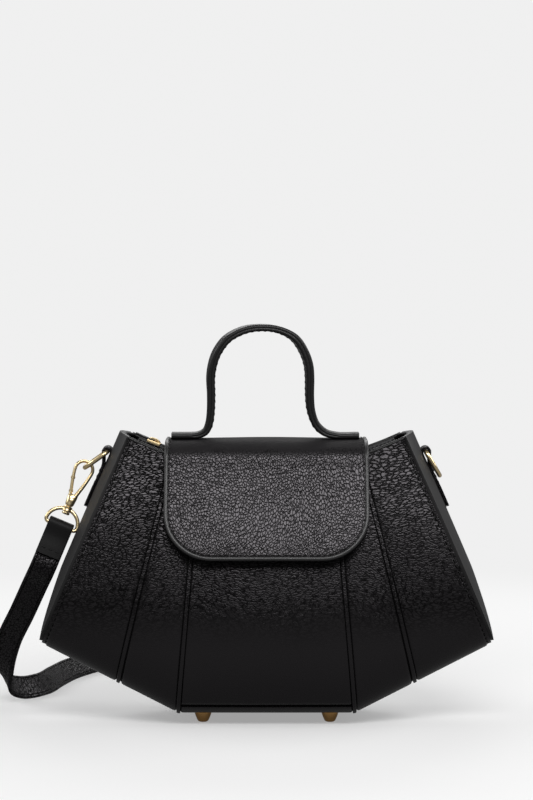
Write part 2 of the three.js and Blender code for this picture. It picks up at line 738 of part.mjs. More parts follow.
// Handle: a stitched strap bent over the crest, seen edge on from the front
const handleRoute = [
  [-59, 0], [-48, 0], [-42, 0.003], [-38, 0.03], [-35.9, 0.092], [-34.8, 0.2], [-34.5, 0.366], [-34.8, 0.534],
  [-33.6, 0.656], [-31.1, 0.763], [-25.8, 0.878], [-20.8, 0.934], [-13, 0.983], [-4.4, 1], [6, 0.986],
  [14.6, 0.934], [19, 0.878], [23.6, 0.763], [26.1, 0.649], [26.8, 0.534], [26.8, 0.366], [27.5, 0.237],
  [29.4, 0.137], [32, 0.07], [36.7, 0.018], [43, 0], [57.5, 0],
];
const handleBase = CREST + 2 * GAP + HANDLE_THICKNESS / 2;
const handleCurve = new THREE.CatmullRomCurve3(handleRoute.map(
  ([x, share]) => point(x, 0, handleBase + HANDLE_RISE * share)));
const handleShares = steps(0, 1, 44);
const handleEdge = (offset) => handleShares.map((share) => {
  const p = handleCurve.getPointAt(share);
  const t = handleCurve.getTangentAt(share);
  return flat(p.x - t.z * offset, p.z + t.x * offset);
});
const handleOutline = [
  ...handleEdge(HANDLE_THICKNESS / 2),
  ...handleEdge(-HANDLE_THICKNESS / 2).reverse(),
];
const handle = placed(plate(handleOutline, HANDLE_WIDTH), point(1, 0, 0), Z_AXIS, point(0, -1, 0), point(0, 0, 0));
addPart('handle', handle, leather);

// Tabs on the gussets, each with a D-ring in its loop
const BAR_HOLE = RING_WIRE / 2 + GAP;
const LOOP_RADIUS = BAR_HOLE + TAB_LEATHER;

function tabFrame(side) {
  const top = gussetPoint(side, TAB_TOP_AT, 0, 0);
  const low = gussetPoint(side, TAB_TOP_AT - 0.14, 0, 0);
  const down = low.clone().sub(top).normalize();
  const out = point(side * -down.z, 0, side * down.x);
  const lift = Math.max(...steps(TAB_TOP_AT, TAB_TOP_AT - 0.2, 8).map((place) => (
    gussetPoint(side, place, 0, 0).sub(top).dot(out))));
  const bar = top.clone().addScaledVector(out, lift + 2 * GAP + LOOP_RADIUS);
  return { down, out, bar };
}

function ringPath(direction, bar) {
  const half = (RING_INNER_WIDTH + RING_WIRE) / 2;
  const start = RING_LENGTH - half;
  const outline = [
    flat(0, -half + RING_CORNER),
    flat(0, 0),
    flat(0, half - RING_CORNER),
    flat(RING_CORNER * 0.3, half - RING_CORNER * 0.3),
    flat(RING_CORNER, half),
    ...arcPoints(start, 0, half, 90, -90, 10),
    flat(RING_CORNER, -half),
    flat(RING_CORNER * 0.3, -half + RING_CORNER * 0.3),
  ];
  const points = outline.map((p) => bar.clone().addScaledVector(direction, p.x).addScaledVector(Y_AXIS, p.y));
  return new THREE.CatmullRomCurve3(points, true, 'centripetal');
}

function ringDirection(frame, side, angle) {
  return frame.down.clone().applyAxisAngle(Y_AXIS, -side * rad(angle));
}

const tabs = {};
for (const [name, side, angle] of [['left', -1, RING_LEFT_ANGLE], ['right', 1, RING_RIGHT_ANGLE]]) {
  const frame = tabFrame(side);
  const outline = [
    ...arcPoints(0, 0, LOOP_RADIUS, 270, 90, 8),
    flat(TAB_NECK * 0.45, LOOP_RADIUS * 0.8),
    flat(TAB_NECK, 2 * TAB_LEATHER - LOOP_RADIUS),
    flat(TAB_LENGTH, 2 * TAB_LEATHER - LOOP_RADIUS),
    flat(TAB_LENGTH, -LOOP_RADIUS),
  ];
  const hole = arcPoints(0, 0, BAR_HOLE, 0, 360, 12).slice(0, -1);
  const tab = placed(plate(outline, TAB_WIDTH, [hole]), frame.down, frame.out, Y_AXIS, frame.bar);
  addPart(`tab_${name}`, tab, leather);
  const direction = ringDirection(frame, side, angle);
  const path = ringPath(direction, frame.bar);
  addPart(`d_ring_${name}`, new THREE.TubeGeometry(path, 34, RING_WIRE / 2, 6, true), gold);
  tabs[name] = { ...frame, apex: frame.bar.clone().addScaledVector(direction, RING_LENGTH) };
}

// Strap fittings in a frame of their own: q across, s along from the ring that the hook holds
const HOOK_OUTER_RADIUS = HOOK_INNER_RADIUS + HOOK_WIRE;
const HOOK_CENTRE = HOOK_INNER_RADIUS - RING_WIRE / 2 - HOOK_PLAY;
const HOOK_BASE_TOP = HOOK_LOOP_LENGTH + 1.6;
const HOOK_END = HOOK_BASE_TOP + HOOK_BASE_LENGTH;
const COLLAR_MID = HOOK_END + GAP + COLLAR_LENGTH / 2;
const EYE_BAR = COLLAR_MID + EYE_LENGTH;
const EYE_HOLE = EYE_WIRE / 2 + GAP;
const FOLD_RADIUS = EYE_HOLE + STRAP_THICKNESS;
const STRAP_START = EYE_BAR + STRAP_END_LENGTH;
const LAYERS = STRAP_THICKNESS + GAP / 2;

function hookOutline() {
  const half = HOOK_BASE_HALF;
  return [
    ...arcPoints(0, HOOK_CENTRE, HOOK_OUTER_RADIUS, HOOK_NOSE_ANGLE, HOOK_SIDE_ANGLE, 12),
    flat(half, HOOK_LOOP_LENGTH),
    flat(half, HOOK_END - 1.5),
    flat(half - 1.2, HOOK_END),
    flat(1.2 - half, HOOK_END),
    flat(-half, HOOK_END - 1.5),
    flat(-half, HOOK_BASE_TOP),
    flat(0.2, HOOK_BASE_TOP),
    flat(0.7, HOOK_LOOP_LENGTH - 1.4),
    ...arcPoints(0, HOOK_CENTRE, HOOK_INNER_RADIUS, HOOK_SIDE_ANGLE, HOOK_NOSE_ANGLE, 10),
  ];
}

function gateOutline() {
  const tip = HOOK_NOSE_ANGLE - 3.4;
  const outerTip = arcPoints(0, HOOK_CENTRE, HOOK_OUTER_RADIUS - GAP / 2, tip, tip, 1)[0];
  const innerTip = arcPoints(0, HOOK_CENTRE, HOOK_INNER_RADIUS + GAP / 2, tip, tip, 1)[0];
  return [
    outerTip,
    innerTip,
    flat(-0.9, HOOK_LOOP_LENGTH - 1.4),
    flat(-1.1, HOOK_BASE_TOP - 1),
    flat(-1.6, HOOK_BASE_TOP - GAP),
    flat(-HOOK_BASE_HALF, HOOK_BASE_TOP - GAP),
  ];
}

function addFittings(ending, frame) {
  const { across, along, face, origin } = frame;
  const at = (q, s) => origin.clone().addScaledVector(across, q).addScaledVector(along, s);
  const postLength = HOOK_BASE_LENGTH / 2 + COLLAR_LENGTH + 2 * GAP + POST_HEAD_LENGTH;
  const postFrom = HOOK_END - HOOK_BASE_LENGTH / 2;
  const headMid = postFrom + postLength - POST_HEAD_LENGTH / 2;
  const hook = unite([
    placed(plate(hookOutline(), HOOK_THICKNESS), across, along, face, origin),
    rod(POST_RADIUS, postLength, across, along, face, at(0, postFrom + postLength / 2)),
    rod(POST_HEAD_RADIUS, POST_HEAD_LENGTH, across, along, face, at(0, headMid)),
  ]);
  addPart(`hook_${ending}`, hook, gold);
  const gate = placed(plate(gateOutline(), HOOK_THICKNESS - 2 * GAP), across, along, face, origin);
  addPart(`gate_${ending}`, gate, gold);

  const cornerFrom = EYE_BAR - EYE_CORNER;
  const inside = EYE_HALF_WIDTH - EYE_CORNER;
  const eyeOutline = [
    ...steps(180, 360, 10).map((deg) => flat(
      EYE_HALF_WIDTH * Math.cos(rad(deg)),
      cornerFrom + (cornerFrom - COLLAR_MID) * Math.sin(rad(deg)))),
    ...arcPoints(inside, cornerFrom, EYE_CORNER, 0, 90, 3).slice(1),
    ...arcPoints(-inside, cornerFrom, EYE_CORNER, 90, 180, 3).slice(0, -1),
  ];
  const eyePath = new THREE.CatmullRomCurve3(eyeOutline.map((p) => at(p.x, p.y)), true, 'centripetal');
  const collar = rod(COLLAR_RADIUS, COLLAR_LENGTH, across, along, face, at(0, COLLAR_MID));
  const bore = rod(POST_RADIUS + GAP, 3 * COLLAR_LENGTH, across, along, face, at(0, COLLAR_MID));
  const eye = new THREE.TubeGeometry(eyePath, 32, EYE_WIRE / 2, 6, true);
  addPart(`swivel_ring_${ending}`, subtract(unite([eye, collar]), [bore]), gold);

  const foldNeck = EYE_BAR + 3 * STRAP_THICKNESS;
  const fold = [
    ...arcPoints(0, EYE_BAR, FOLD_RADIUS, 180, 360, 10),
    flat(LAYERS, foldNeck),
    flat(LAYERS, STRAP_START),
    flat(-LAYERS, STRAP_START),
    flat(-LAYERS, foldNeck),
  ];
  const eyeHole = arcPoints(0, EYE_BAR, EYE_HOLE, 0, 360, 12).slice(0, -1);
  const end = placed(plate(fold, STRAP_WIDTH, [eyeHole]), face, along, across, origin);
  addPart(`strap_end_${ending}`, end, leather);
  return at(0, STRAP_START + GAP);
}

// A strap lying along a route; each stop has a centre and a direction across the strap.
function ribbon(stops) {
  return loft(stops.map(({ centre, across, heading }) => {
    const side = across.clone().addScaledVector(heading, -across.dot(heading)).normalize();
    const face = new THREE.Vector3().crossVectors(heading, side).normalize();
    const corner = (a, b) => centre.clone()
      .addScaledVector(side, a * STRAP_WIDTH / 2)
      .addScaledVector(face, b * STRAP_THICKNESS / 2);
    return [corner(1, 1), corner(-1, 1), corner(-1, -1), corner(1, -1)];
  }));
}

function routeStops(points, acrosses, count) {
  const path = new THREE.CatmullRomCurve3(points, false, 'centripetal');
  return steps(0, 1, count).map((t) => {
    const place = t * (points.length - 1);
    const i = Math.min(points.length - 2, Math.floor(place));
    const across = acrosses[i].clone().lerp(acrosses[i + 1], place - i);
    return { centre: path.getPoint(t), across, heading: path.getTangent(t) };
  });
}

// Coil on edge behind the bag: an arm in, a turn through the middle, an arm out
const COIL_HEIGHT = COIL_FLOOR + STRAP_WIDTH / 2;

function spiralPoint(startDeg, turnDeg) {
  const radius = COIL_RADIUS + COIL_PITCH * turnDeg / 360;
  const angle = rad(startDeg + turnDeg);
  return point(COIL_X + radius * Math.cos(angle), COIL_Y + radius * Math.sin(angle), COIL_HEIGHT);
}

const coilPoints = [];
for (let turn = COIL_TURN_IN; turn > 0; turn -= COIL_STEP) {
  coilPoints.push(spiralPoint(COIL_START, turn));
}
const armIn = rad(COIL_START);
const half = COIL_RADIUS / 2;
for (let deg = 0; deg < 180; deg += COIL_STEP) {
  const angle = armIn - rad(deg);
  coilPoints.push(point(
    COIL_X + half * Math.cos(armIn) + half * Math.cos(angle),
    COIL_Y + half * Math.sin(armIn) + half * Math.sin(angle), COIL_HEIGHT));
}
for (let deg = 0; deg < 180; deg += COIL_STEP) {
  const angle = armIn + rad(deg);
  coilPoints.push(point(
    COIL_X - half * Math.cos(armIn) + half * Math.cos(angle),
    COIL_Y - half * Math.sin(armIn) + half * Math.sin(angle), COIL_HEIGHT));
}
for (let turn = 0; turn <= COIL_TURN_OUT; turn += COIL_STEP) {
  coilPoints.push(spiralPoint(COIL_START + 180, turn));
}
const coilHeading = (i) => {
  const from = coilPoints[Math.max(0, i - 1)];
  const to = coilPoints[Math.min(coilPoints.length - 1, i + 1)];
  return to.clone().sub(from).normalize();
};
const DOWN = point(0, 0, -1);
const coilStops = coilPoints.map((centre, i) => ({ centre, across: DOWN, heading: coilHeading(i) }));
addPart('strap_coil', ribbon(coilStops), leather);

let coilGap = Infinity;
coilPoints.forEach((p, i) => {
  coilPoints.forEach((q, j) => {
    if (j - i > 4) {
      coilGap = Math.min(coilGap, p.distanceTo(q) - STRAP_THICKNESS);
    }
  });
});
console.log(`coil least gap to itself ${coilGap.toFixed(2)} mm, wanted over ${COIL_LEAST_GAP} mm`);

// Near end on the left D-ring
const nearAlong = point(
  -Math.sin(rad(HOOK_LEAN)) * Math.cos(rad(HOOK_FORWARD)),
  -Math.sin(rad(HOOK_FORWARD)),
  -Math.cos(rad(HOOK_LEAN)) * Math.cos(rad(HOOK_FORWARD)));
const nearAcross = new THREE.Vector3().crossVectors(nearAlong, Y_AXIS).normalize();
const nearFace = new THREE.Vector3().crossVectors(nearAcross, nearAlong).normalize();
const near = { across: nearAcross, along: nearAlong, face: nearFace, origin: tabs.left.apex };
const nearStart = addFittings('near', near);
const rearLayer = -LAYERS + STRAP_THICKNESS / 2;
nearStart.addScaledVector(nearFace, rearLayer * Math.sign(-nearFace.y));

// Hanging stretch: hand-chosen stops with the direction across the strap at each
const hangingRoute = [
  [nearStart, nearAcross],
  [nearStart.clone().addScaledVector(nearAlong, STRAP_WIDTH / 2), nearAcross],
  [point(-145.3, -1, 82), point(0.92, 0.05, -0.39)],
  [point(-153.5, 11, 63), point(0.9, 0.08, -0.42)],
  [point(-163, 27, 42.5), point(0.86, -0.02, -0.5)],
  [point(-168, 41, 26.5), point(0.7, -0.2, -0.68)],
  [point(-167, 54, 14), point(0.42, -0.42, -0.8)],
  [point(-159, 66, 8.9), point(0.28, -0.52, -0.8)],
  [point(-147, 82.5, 7.9), point(0.55, -0.35, -0.75)],
  [point(-139, 106, 7.3), point(0.69, -0.18, -0.7)],
  [point(-130.5, 139, 7.3), point(0.68, -0.22, -0.7)],
  [point(-116, 168, 7.4), point(0.62, -0.4, -0.68)],
  [point(-96, 188, 8.3), point(0.35, -0.4, -0.85)],
  [point(-70, 197, 9), point(0, -0.1, -1)],
  [point(-40, 195, 9), DOWN],
  [point(-12, 184, 9), DOWN],
  [point(10, 168, 9), DOWN],
];
const coilFirst = coilPoints[0];
const coilIn = coilHeading(0);
const stretchEnd = coilFirst.clone().addScaledVector(coilIn, -GAP);
const stretchPoints = [...hangingRoute.map(([p]) => p), stretchEnd];
const stretchAcross = [...hangingRoute.map(([, w]) => w), DOWN];
addPart('strap_stretch', ribbon(routeStops(stretchPoints, stretchAcross, 54)), leather);

// Tail: from the end of the coil, turning flat for the far fittings
const coilLast = coilPoints[coilPoints.length - 1];
const coilOut = coilHeading(coilPoints.length - 1);
const TAIL_LENGTH = 46;
const FAR_TIP_HEIGHT = HOOK_THICKNESS / 2 + 2 * GAP;
const FAR_BAR_HEIGHT = EYE_WIRE / 2 + GAP + STRAP_THICKNESS + 0.4;
const farTilt = Math.asin((FAR_BAR_HEIGHT - FAR_TIP_HEIGHT) / EYE_BAR);
const farAlong = point(-coilOut.x * Math.cos(farTilt), -coilOut.y * Math.cos(farTilt), Math.sin(farTilt));
const farAcross = new THREE.Vector3().crossVectors(farAlong, Z_AXIS).normalize();
const farFace = new THREE.Vector3().crossVectors(farAcross, farAlong).normalize();
const farOrigin = coilLast.clone().addScaledVector(coilOut, TAIL_LENGTH + (STRAP_START + GAP) * Math.cos(farTilt));
farOrigin.z = FAR_TIP_HEIGHT;
const far = { across: farAcross, along: farAlong, face: farFace, origin: farOrigin };
const farEnd = addFittings('far', far);
const tailEnd = farEnd.clone().addScaledVector(farFace, rearLayer * Math.sign(farFace.z));
const tailStart = coilLast.clone().addScaledVector(coilOut, GAP);
const flatAcross = farAcross.clone().multiplyScalar(Math.sign(farAcross.dot(point(coilOut.y, -coilOut.x, 0))));
const tailShares = steps(0, 1, 12);
const tailFloor = tailEnd.z - STRAP_THICKNESS / 2;
const tailStops = tailShares.map((share) => {
  const turn = Math.PI / 2 * THREE.MathUtils.smoothstep(share, 0, 0.9);
  const across = DOWN.clone().multiplyScalar(Math.cos(turn)).addScaledVector(flatAcross, Math.sin(turn));
  const centre = tailStart.clone().lerp(tailEnd, share);
  const halfHeight = STRAP_WIDTH / 2 * Math.cos(turn) + STRAP_THICKNESS / 2 * Math.sin(turn);
  centre.z = halfHeight + COIL_FLOOR + (tailFloor - COIL_FLOOR) * share;
  return { centre, across, heading: coilOut };
});
addPart('strap_tail', ribbon(tailStops), leather);

// Tie around the strands of the coil
const tieOut = point(Math.cos(rad(TIE_ANGLE)), Math.sin(rad(TIE_ANGLE)), 0);
const tieAcross = point(-tieOut.y, tieOut.x, 0);
const tieFrom = COIL_RADIUS - STRAP_THICKNESS / 2 - 2 * GAP;
const tieTo = COIL_RADIUS + COIL_PITCH * 1.26 + STRAP_THICKNESS / 2 + 2 * GAP;
const tieLow = COIL_FLOOR - GAP;
const tieHigh = COIL_FLOOR + STRAP_WIDTH + GAP;
const box = (from, to, low, high) => [flat(from, low), flat(to, low), flat(to, high), flat(from, high)];
const tieOutline = box(
  tieFrom - TIE_THICKNESS, tieTo + TIE_THICKNESS, tieLow - TIE_THICKNESS, tieHigh + TIE_THICKNESS);
const tie = plate(tieOutline, TIE_WIDTH, [box(tieFrom, tieTo, tieLow, tieHigh)]);
addPart('strap_tie', placed(tie, tieOut, Z_AXIS, tieAcross, point(COIL_X, COIL_Y, 0)), cloth);

export default root;
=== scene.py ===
import json
import math

import bpy
import numpy as np
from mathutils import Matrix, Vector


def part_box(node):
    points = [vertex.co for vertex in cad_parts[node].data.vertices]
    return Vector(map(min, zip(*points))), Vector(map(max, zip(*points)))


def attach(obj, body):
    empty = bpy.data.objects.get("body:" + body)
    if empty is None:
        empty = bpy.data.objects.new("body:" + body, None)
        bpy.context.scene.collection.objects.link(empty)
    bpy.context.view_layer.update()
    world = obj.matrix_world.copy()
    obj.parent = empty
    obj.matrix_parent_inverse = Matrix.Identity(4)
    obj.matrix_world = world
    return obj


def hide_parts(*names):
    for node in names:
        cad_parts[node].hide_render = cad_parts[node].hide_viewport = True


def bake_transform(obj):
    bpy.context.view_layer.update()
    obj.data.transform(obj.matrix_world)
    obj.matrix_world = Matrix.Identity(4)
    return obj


bl_info = {
    "name": "Crossbody Bag",
    "version": (1, 0, 0),
    "blender": (4, 5, 0),
    "location": "3D View > Sidebar > Bag",
    "description": "Builds the leather, stitching and fittings of a flared crossbody bag",
    "category": "Add Mesh",
}

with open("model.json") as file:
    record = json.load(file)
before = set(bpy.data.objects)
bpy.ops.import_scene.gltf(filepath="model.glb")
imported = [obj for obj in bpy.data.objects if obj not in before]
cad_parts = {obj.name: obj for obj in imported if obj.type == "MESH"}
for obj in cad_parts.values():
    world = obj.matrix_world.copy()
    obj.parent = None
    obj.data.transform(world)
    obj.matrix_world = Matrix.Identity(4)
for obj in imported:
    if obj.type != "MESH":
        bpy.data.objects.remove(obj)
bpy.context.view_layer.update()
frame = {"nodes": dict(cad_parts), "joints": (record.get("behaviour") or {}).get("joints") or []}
MM = 0.001
JOINTS = {joint["name"]: joint for joint in frame["joints"]}
SIDES = (("left", -1), ("right", 1))
FACES = (("front", -1), ("back", 1))
ACROSS = np.array((0.0, 1.0, 0.0))
UP = np.array((0.0, 0.0, 1.0))

# Body outline in millimetres, the same driving sizes as the solids
FOOT_HEIGHT = 6.8
BASE_WIDTH = 108.0
SHOULDER_WIDTH = 182.0
BOTTOM_WIDTH = 276.0
CORNER_HEIGHT = 49.0
MOUTH_WIDTH = 168.0
MOUTH_CORNER_HEIGHT = 175.0
MOUTH_CENTRE_HEIGHT = 156.0
SEAM_BOTTOMS = (0.0, BASE_WIDTH / 2, SHOULDER_WIDTH / 2, BOTTOM_WIDTH / 2)
SEAM_TOPS = (0.0, 41.0, 57.0, MOUTH_WIDTH / 2)
COLUMN_BOW = 0.4
BOW_POWER = 1.3
MOUTH_DEPTH = 44.0
BELLY_DEPTH = 100.0
BELLY_HEIGHT = 46.0
BASE_DEPTH = 52.0
SIDE_DEPTH_RATIO = 0.92
CORNER_POWER = 2.4
GUSSET_BULGE = 5.5
BELLY_AT = 0.45
FLAT_AT = 0.15
BASE_SEAM_AT = 0.25
INNER_SEAM = BASE_WIDTH / BOTTOM_WIDTH
OUTER_SEAM = SHOULDER_WIDTH / BOTTOM_WIDTH
MOUTH_RISE = MOUTH_CORNER_HEIGHT - MOUTH_CENTRE_HEIGHT
MOUTH_RADIUS = ((MOUTH_WIDTH / 2) ** 2 + MOUTH_RISE**2) / (2 * MOUTH_RISE)
MOUTH_APEX = MOUTH_CENTRE_HEIGHT + MOUTH_RADIUS
BOTTOM_SLOPE = (CORNER_HEIGHT - FOOT_HEIGHT) / ((BOTTOM_WIDTH - BASE_WIDTH) / 2)

# Thicknesses of cloth and leather in metres
LINING_CLOTH = 0.0008
TAPE_CLOTH = 0.0009
FLAP_LEATHER = 0.002
FLAP_LEATHER_EDGE = 0.0005
FLAP_LINING_CLOTH = 0.0011

# Panels with their seams, hems and feet in millimetres; pairs of lists give a dip by distance
CENTRE_WIDTH = 95.0
INNER_WIDTH = 27.0
OUTER_WIDTH = 38.0
WRAP_LENGTH = 120.0
PANEL_SWELL = 0.9
PANEL_RIPPLE = 0.22
PUFF_FROM = 0.2
SEAM_PINCH = ((0.0, 0.9, 1.3, 1.7, 2.6), (-1.2, -1.2, -0.8, -0.2, 0.0))
PINCH_FADE = ((0.5, 0.7), (1.0, 0.55))
SIDE_GROOVE = ((0.0, 0.9, 1.3, 1.7, 2.1, 2.6), (-0.5, -0.6, -0.75, -0.75, -0.5, 0.0))
SIDE_STITCH_INSET = 1.5
SIDE_STITCH_SINK = 0.5
SIDE_ROW_ENDS = (0.985, 0.2)
WELT_ROOT = 1.4
HEM_HALF = 1.15
HEM_EXTRA = 0.8
HEM_DROP = 0.8
HEM_SINK = 0.1
BELOW_MOUTH = 0.97
BESIDE_MOUTH = 0.995
GUSSET_HEM_SINK = 0.95
GUSSET_HEM_SECTION = (1.5, 1.6, 1.0)
GUSSET_SINK = 1.7
FOOT_PROFILE = (
    (0.01, 0.0), (2.2, 0.02), (3.0, 0.4), (3.5, 1.1), (4.5, 3.4), (5.1, 5.2),
    (5.2, 6.0), (5.1, 6.4), (4.5, 6.7), (1.5, 6.75), (1.5, 12.2), (0.01, 12.2),
)

# Zip; slider and puller are pairs of a distance along the mouth and a half width or height
TAPE_SINK = 0.45
TAPE_GAP = 0.2
TAPE_INNER = 0.6
TAPE_NARROWING = 0.05
END_GAP = 0.3
TOOTH_PITCH = 2.4
TOOTH_STAGGER = 0.3
TOOTH_OFFSET = 1.4
TOOTH_SIZE = (1.2, 2.2, 2.0)
SLIDER_SINK = 1.1
SLIDER_LIFT = 1.35
SLIDER_HALF = 1.1
BRIDGE_WIRE = (0.8, 2.0)
PULLER_SINK = 3.5
PULLER_HALF = 0.55
SLIDER_PLATE = ((-4.5, 2.2), (-4.2, 3.0), (-1.5, 3.5), (1.5, 3.9), (3.8, 3.9), (4.4, 3.2))
SLIDER_BRIDGE = ((-3.6, 1.2), (-3.2, 2.5), (-1.6, 3.3), (1.6, 3.3), (3.2, 2.5), (3.6, 1.2))
PULLER_TAG = ((-70.9, 2.2), (-71.6, 2.7), (-76, 2.9), (-80, 2.9), (-82, 2.5), (-82.8, 1.6))
TAPE_RADIUS = MOUTH_RADIUS + 1.5
TAPE_EDGE = 18.0
TAPE_HALF = 60.0
TAPE_END_HALF = 80.0
SLIDER_X = -71.0

# Flap and handle
FLAP_HALF = 62.5
FLAP_CORNER = 29.0
FLAP_FRONT_HEIGHT = 102.0
FLAP_THICKNESS = 3.3
FLAP_STANDOFF = 2.0
MAGNET_ROOM = 4.1
FLAP_SPRING = 2.6
FLAP_SPRING_LENGTH = 45.0
FLAP_RIPPLE = 0.25
FLAP_LINING_INSET = 0.9
FLAP_LINING_SINK = 2.15
FLAP_STITCH_INSET = 3.2
FLAP_STITCH_LIFT = 0.05
RIM_INSET = 1.2
RIM_SINK = 1.35
RIM_SECTION = (1.35, 1.75, 1.2)
BORDER_START = 6.0
RIM_DIP = ((0, 1.7, 2.3, 2.9), (-0.6, -0.5, -0.2, 0.0))
ANCHOR_LIFT = 3.0
ANCHOR_TOP_GAP = 2.4
ANCHOR_EDGE = ((0, 0.6, 1.7, 2.9, 4.6), (-0.5, 0.1, 0.2, -0.3, 0.0))
MAGNET_RADIUS = 7.0
MAGNET_PROFILE = ((0.01, -0.5), (6.6, -0.5), (6.95, -0.25), (6.95, 0.25), (6.6, 0.5), (0.01, 0.5))
CREST = 172.3
HINGE_HEIGHT = 152.3
ANCHOR_HEIGHT = 26.0
HANDLE_BASE = 175.2
HANDLE_RISE = 66.3
HANDLE_SKEW = 0.15
HANDLE_LEG_GAIN = 0.15
HANDLE_STEPS = 150
HANDLE_THINNING = ((12.0, 26.0), (0.85, 1.0))
HANDLE_SINK = 2.5
HANDLE_SEWN_FROM = 24.0
HANDLE_STITCH_INSET = 2.3
HANDLE_STOPS = (
    (-59, 0), (-48, 0), (-42, 0.003), (-38, 0.03), (-35.9, 0.092), (-34.8, 0.2), (-34.5, 0.366),
    (-34.8, 0.534), (-33.6, 0.656), (-31.1, 0.763), (-25.8, 0.878), (-20.8, 0.934), (-13, 0.983),
    (-4.4, 1), (6, 0.986), (14.6, 0.934), (19, 0.878), (23.6, 0.763), (26.1, 0.649), (26.8, 0.534),
    (26.8, 0.366), (27.5, 0.237), (29.4, 0.137), (32, 0.07), (36.7, 0.018), (43, 0), (57.5, 0),
)

# Tabs, rings and strap; places on a hook or strap end are measured from the ring that it holds
TAB_LENGTH = 36.0
TAB_LEATHER = 1.8
TAB_LOOP = 3.5
TAB_NECK = 8.0
TAB_HALF = 6.75
TAB_ROW_HALF = 5.0
TAB_ROW_START = 10
TAB_ROW_END = 33.5
TAB_TOP_AT = 0.912
TAB_SPAN = 0.14
RING_LENGTH = 17.3
RING_HALF = 8.9
RING_CORNER = 2.2
RING_RIGHT_ANGLE = 7.0
HOOK_CENTRE = 1.6
HOOK_RADIUS = 5.5
COLLAR_MID = 28.0
EYE_BAR = 39.3
EYE_HALF_WIDTH = 10.1
EYE_CORNER = 2.0
STRAP_START = 59.3
STRAP_LAYER = 1.35
STRAP_LAP = 3.0
STRAP_LEAD = 11.0
STRAP_TWIST_END = 0.88
STRAP_FLOOR_GAP = 1.0
STRAP_FLAT_HEIGHT = 2.2
STRAP_STEP = 2.6
STRAP_ROW_INSET = 1.5
END_NECK = 7.2
END_LOOP = 1.5
END_REAR_SHORT = 3.3
END_ROW = 4.0
TIE_ANGLE = 120
TIE_ROOM = 1.9
TIE_TURNS = 1.26
TIE_BAND = (0.25, 3.4)
TIE_BOTTOM = 0.5
TIE_TOP = 17.5
COIL_CENTRE = (-5.0, 120.0)
COIL_RADIUS = 30.0
COIL_PITCH = 13.0
COIL_HEIGHT = 9.0
COIL_TURN_IN = 360
COIL_TURN_OUT = 465
COIL_START = 45
COIL_STEP = 15

# Leather grain: how steep a pebble is, how the pattern bends and fades, and the tint of its shine
DOME_STEEPNESS = 3.6
SWAY_SCALE = 20.0
SWAY_REACH = 0.017
FADE_WANDER = 0.012
LEATHER_TINT = (1.0, 0.95, 1.0, 1.0)

# Stage: how much of the white surroundings a mirror sees, and the light of floor and world
MIRRORED_SHARE = 0.15
FLOOR_SIZE = 8.0
FLOOR_FADE = (0.25, 0.8)
FLOOR_UNSEEN = 0.25
FLOOR_GLOW = 1.32
FLOOR_NEAR_LIGHT = 0.3
WORLD_DIM = 0.05

# Lamps as name, place, target, width, height and power, and the camera of the photograph
LAMPS = (
    ("key_softbox", (0.2, -1.27, 1.23), (0.0, -0.05, 0.18), 1.5, 0.55, 20.0),
    ("back_softbox", (0.0, 1.45, 1.1), (0.0, 0.05, 0.15), 1.5, 0.55, 10.0),
    ("left_softbox", (-1.45, 0.15, 1.0), (0.0, 0.0, 0.12), 1.3, 0.5, 9.0),
    ("right_softbox", (1.45, 0.15, 1.0), (0.0, 0.0, 0.12), 1.3, 0.5, 12.0),
)
CAMERA_PLACE = (0.0, -1.70, 0.30)
CAMERA_LENS = 122.9
CAMERA_SENSOR = 36.0
CAMERA_SHIFT = -0.208


def length_of(name, note, default):
    return bpy.props.FloatProperty(name=name, description=note, default=default, unit="LENGTH", precision=5)


def colour_of(name, note, default):
    return bpy.props.FloatVectorProperty(
        name=name, description=note, default=default, subtype="COLOR", min=0.0, max=1.0
    )


class BagSizes(bpy.types.PropertyGroup):
    """Sizes of the leather, thread and wire."""

    wall: length_of("Body leather", "Thickness of the body panels", 0.0021)
    welt_width: length_of("Welt width", "Width of the raised strip along a seam", 0.0022)
    welt_height: length_of("Welt height", "How far a seam strip stands proud", 0.0004)
    stitch: length_of("Stitch", "Length of one stitch", 0.0026)
    stitch_gap: length_of("Stitch gap", "Gap between two stitches", 0.0013)
    thread: length_of("Thread", "Radius of the thread", 0.00034)
    pebble: length_of("Pebble", "Size of one pebble of the leather grain", 0.002)
    strap_width: length_of("Strap width", "Width of the shoulder strap", 0.016)
    strap_thickness: length_of("Strap thickness", "Thickness of the shoulder strap", 0.0024)
    handle_width: length_of("Handle width", "Width of the top handle", 0.016)
    handle_thickness: length_of("Handle thickness", "Thickness of the top handle", 0.0041)
    ring_wire: length_of("Ring wire", "Radius of the D-ring wire", 0.0014)
    eye_wire: length_of("Eye wire", "Radius of the swivel ring wire", 0.0012)


class BagColours(bpy.types.PropertyGroup):
    """Colours of the finishes."""

    leather: colour_of("Leather", "Pebbled leather", (0.009, 0.0083, 0.0089))
    smooth: colour_of("Smooth leather", "Gussets and edges", (0.013, 0.0125, 0.013))
    thread: colour_of("Thread", "Stitching", (0.008, 0.0078, 0.008))
    cloth: colour_of("Cloth", "Lining and zip tapes", (0.012, 0.012, 0.013))
    gold: colour_of("Gold", "Plated fittings", (0.9, 0.72, 0.42))
    # Darker and redder than the other gold: partly the feet's own tint, partly a painted reflection of the
    # black bag.
    foot: colour_of("Foot", "Redder gold of the feet", (0.7, 0.4, 0.15))
    steel: colour_of("Steel", "Magnets and washers", (0.42, 0.42, 0.43))
    floor: colour_of("Floor", "Floor and backdrop", (0.87, 0.87, 0.87))


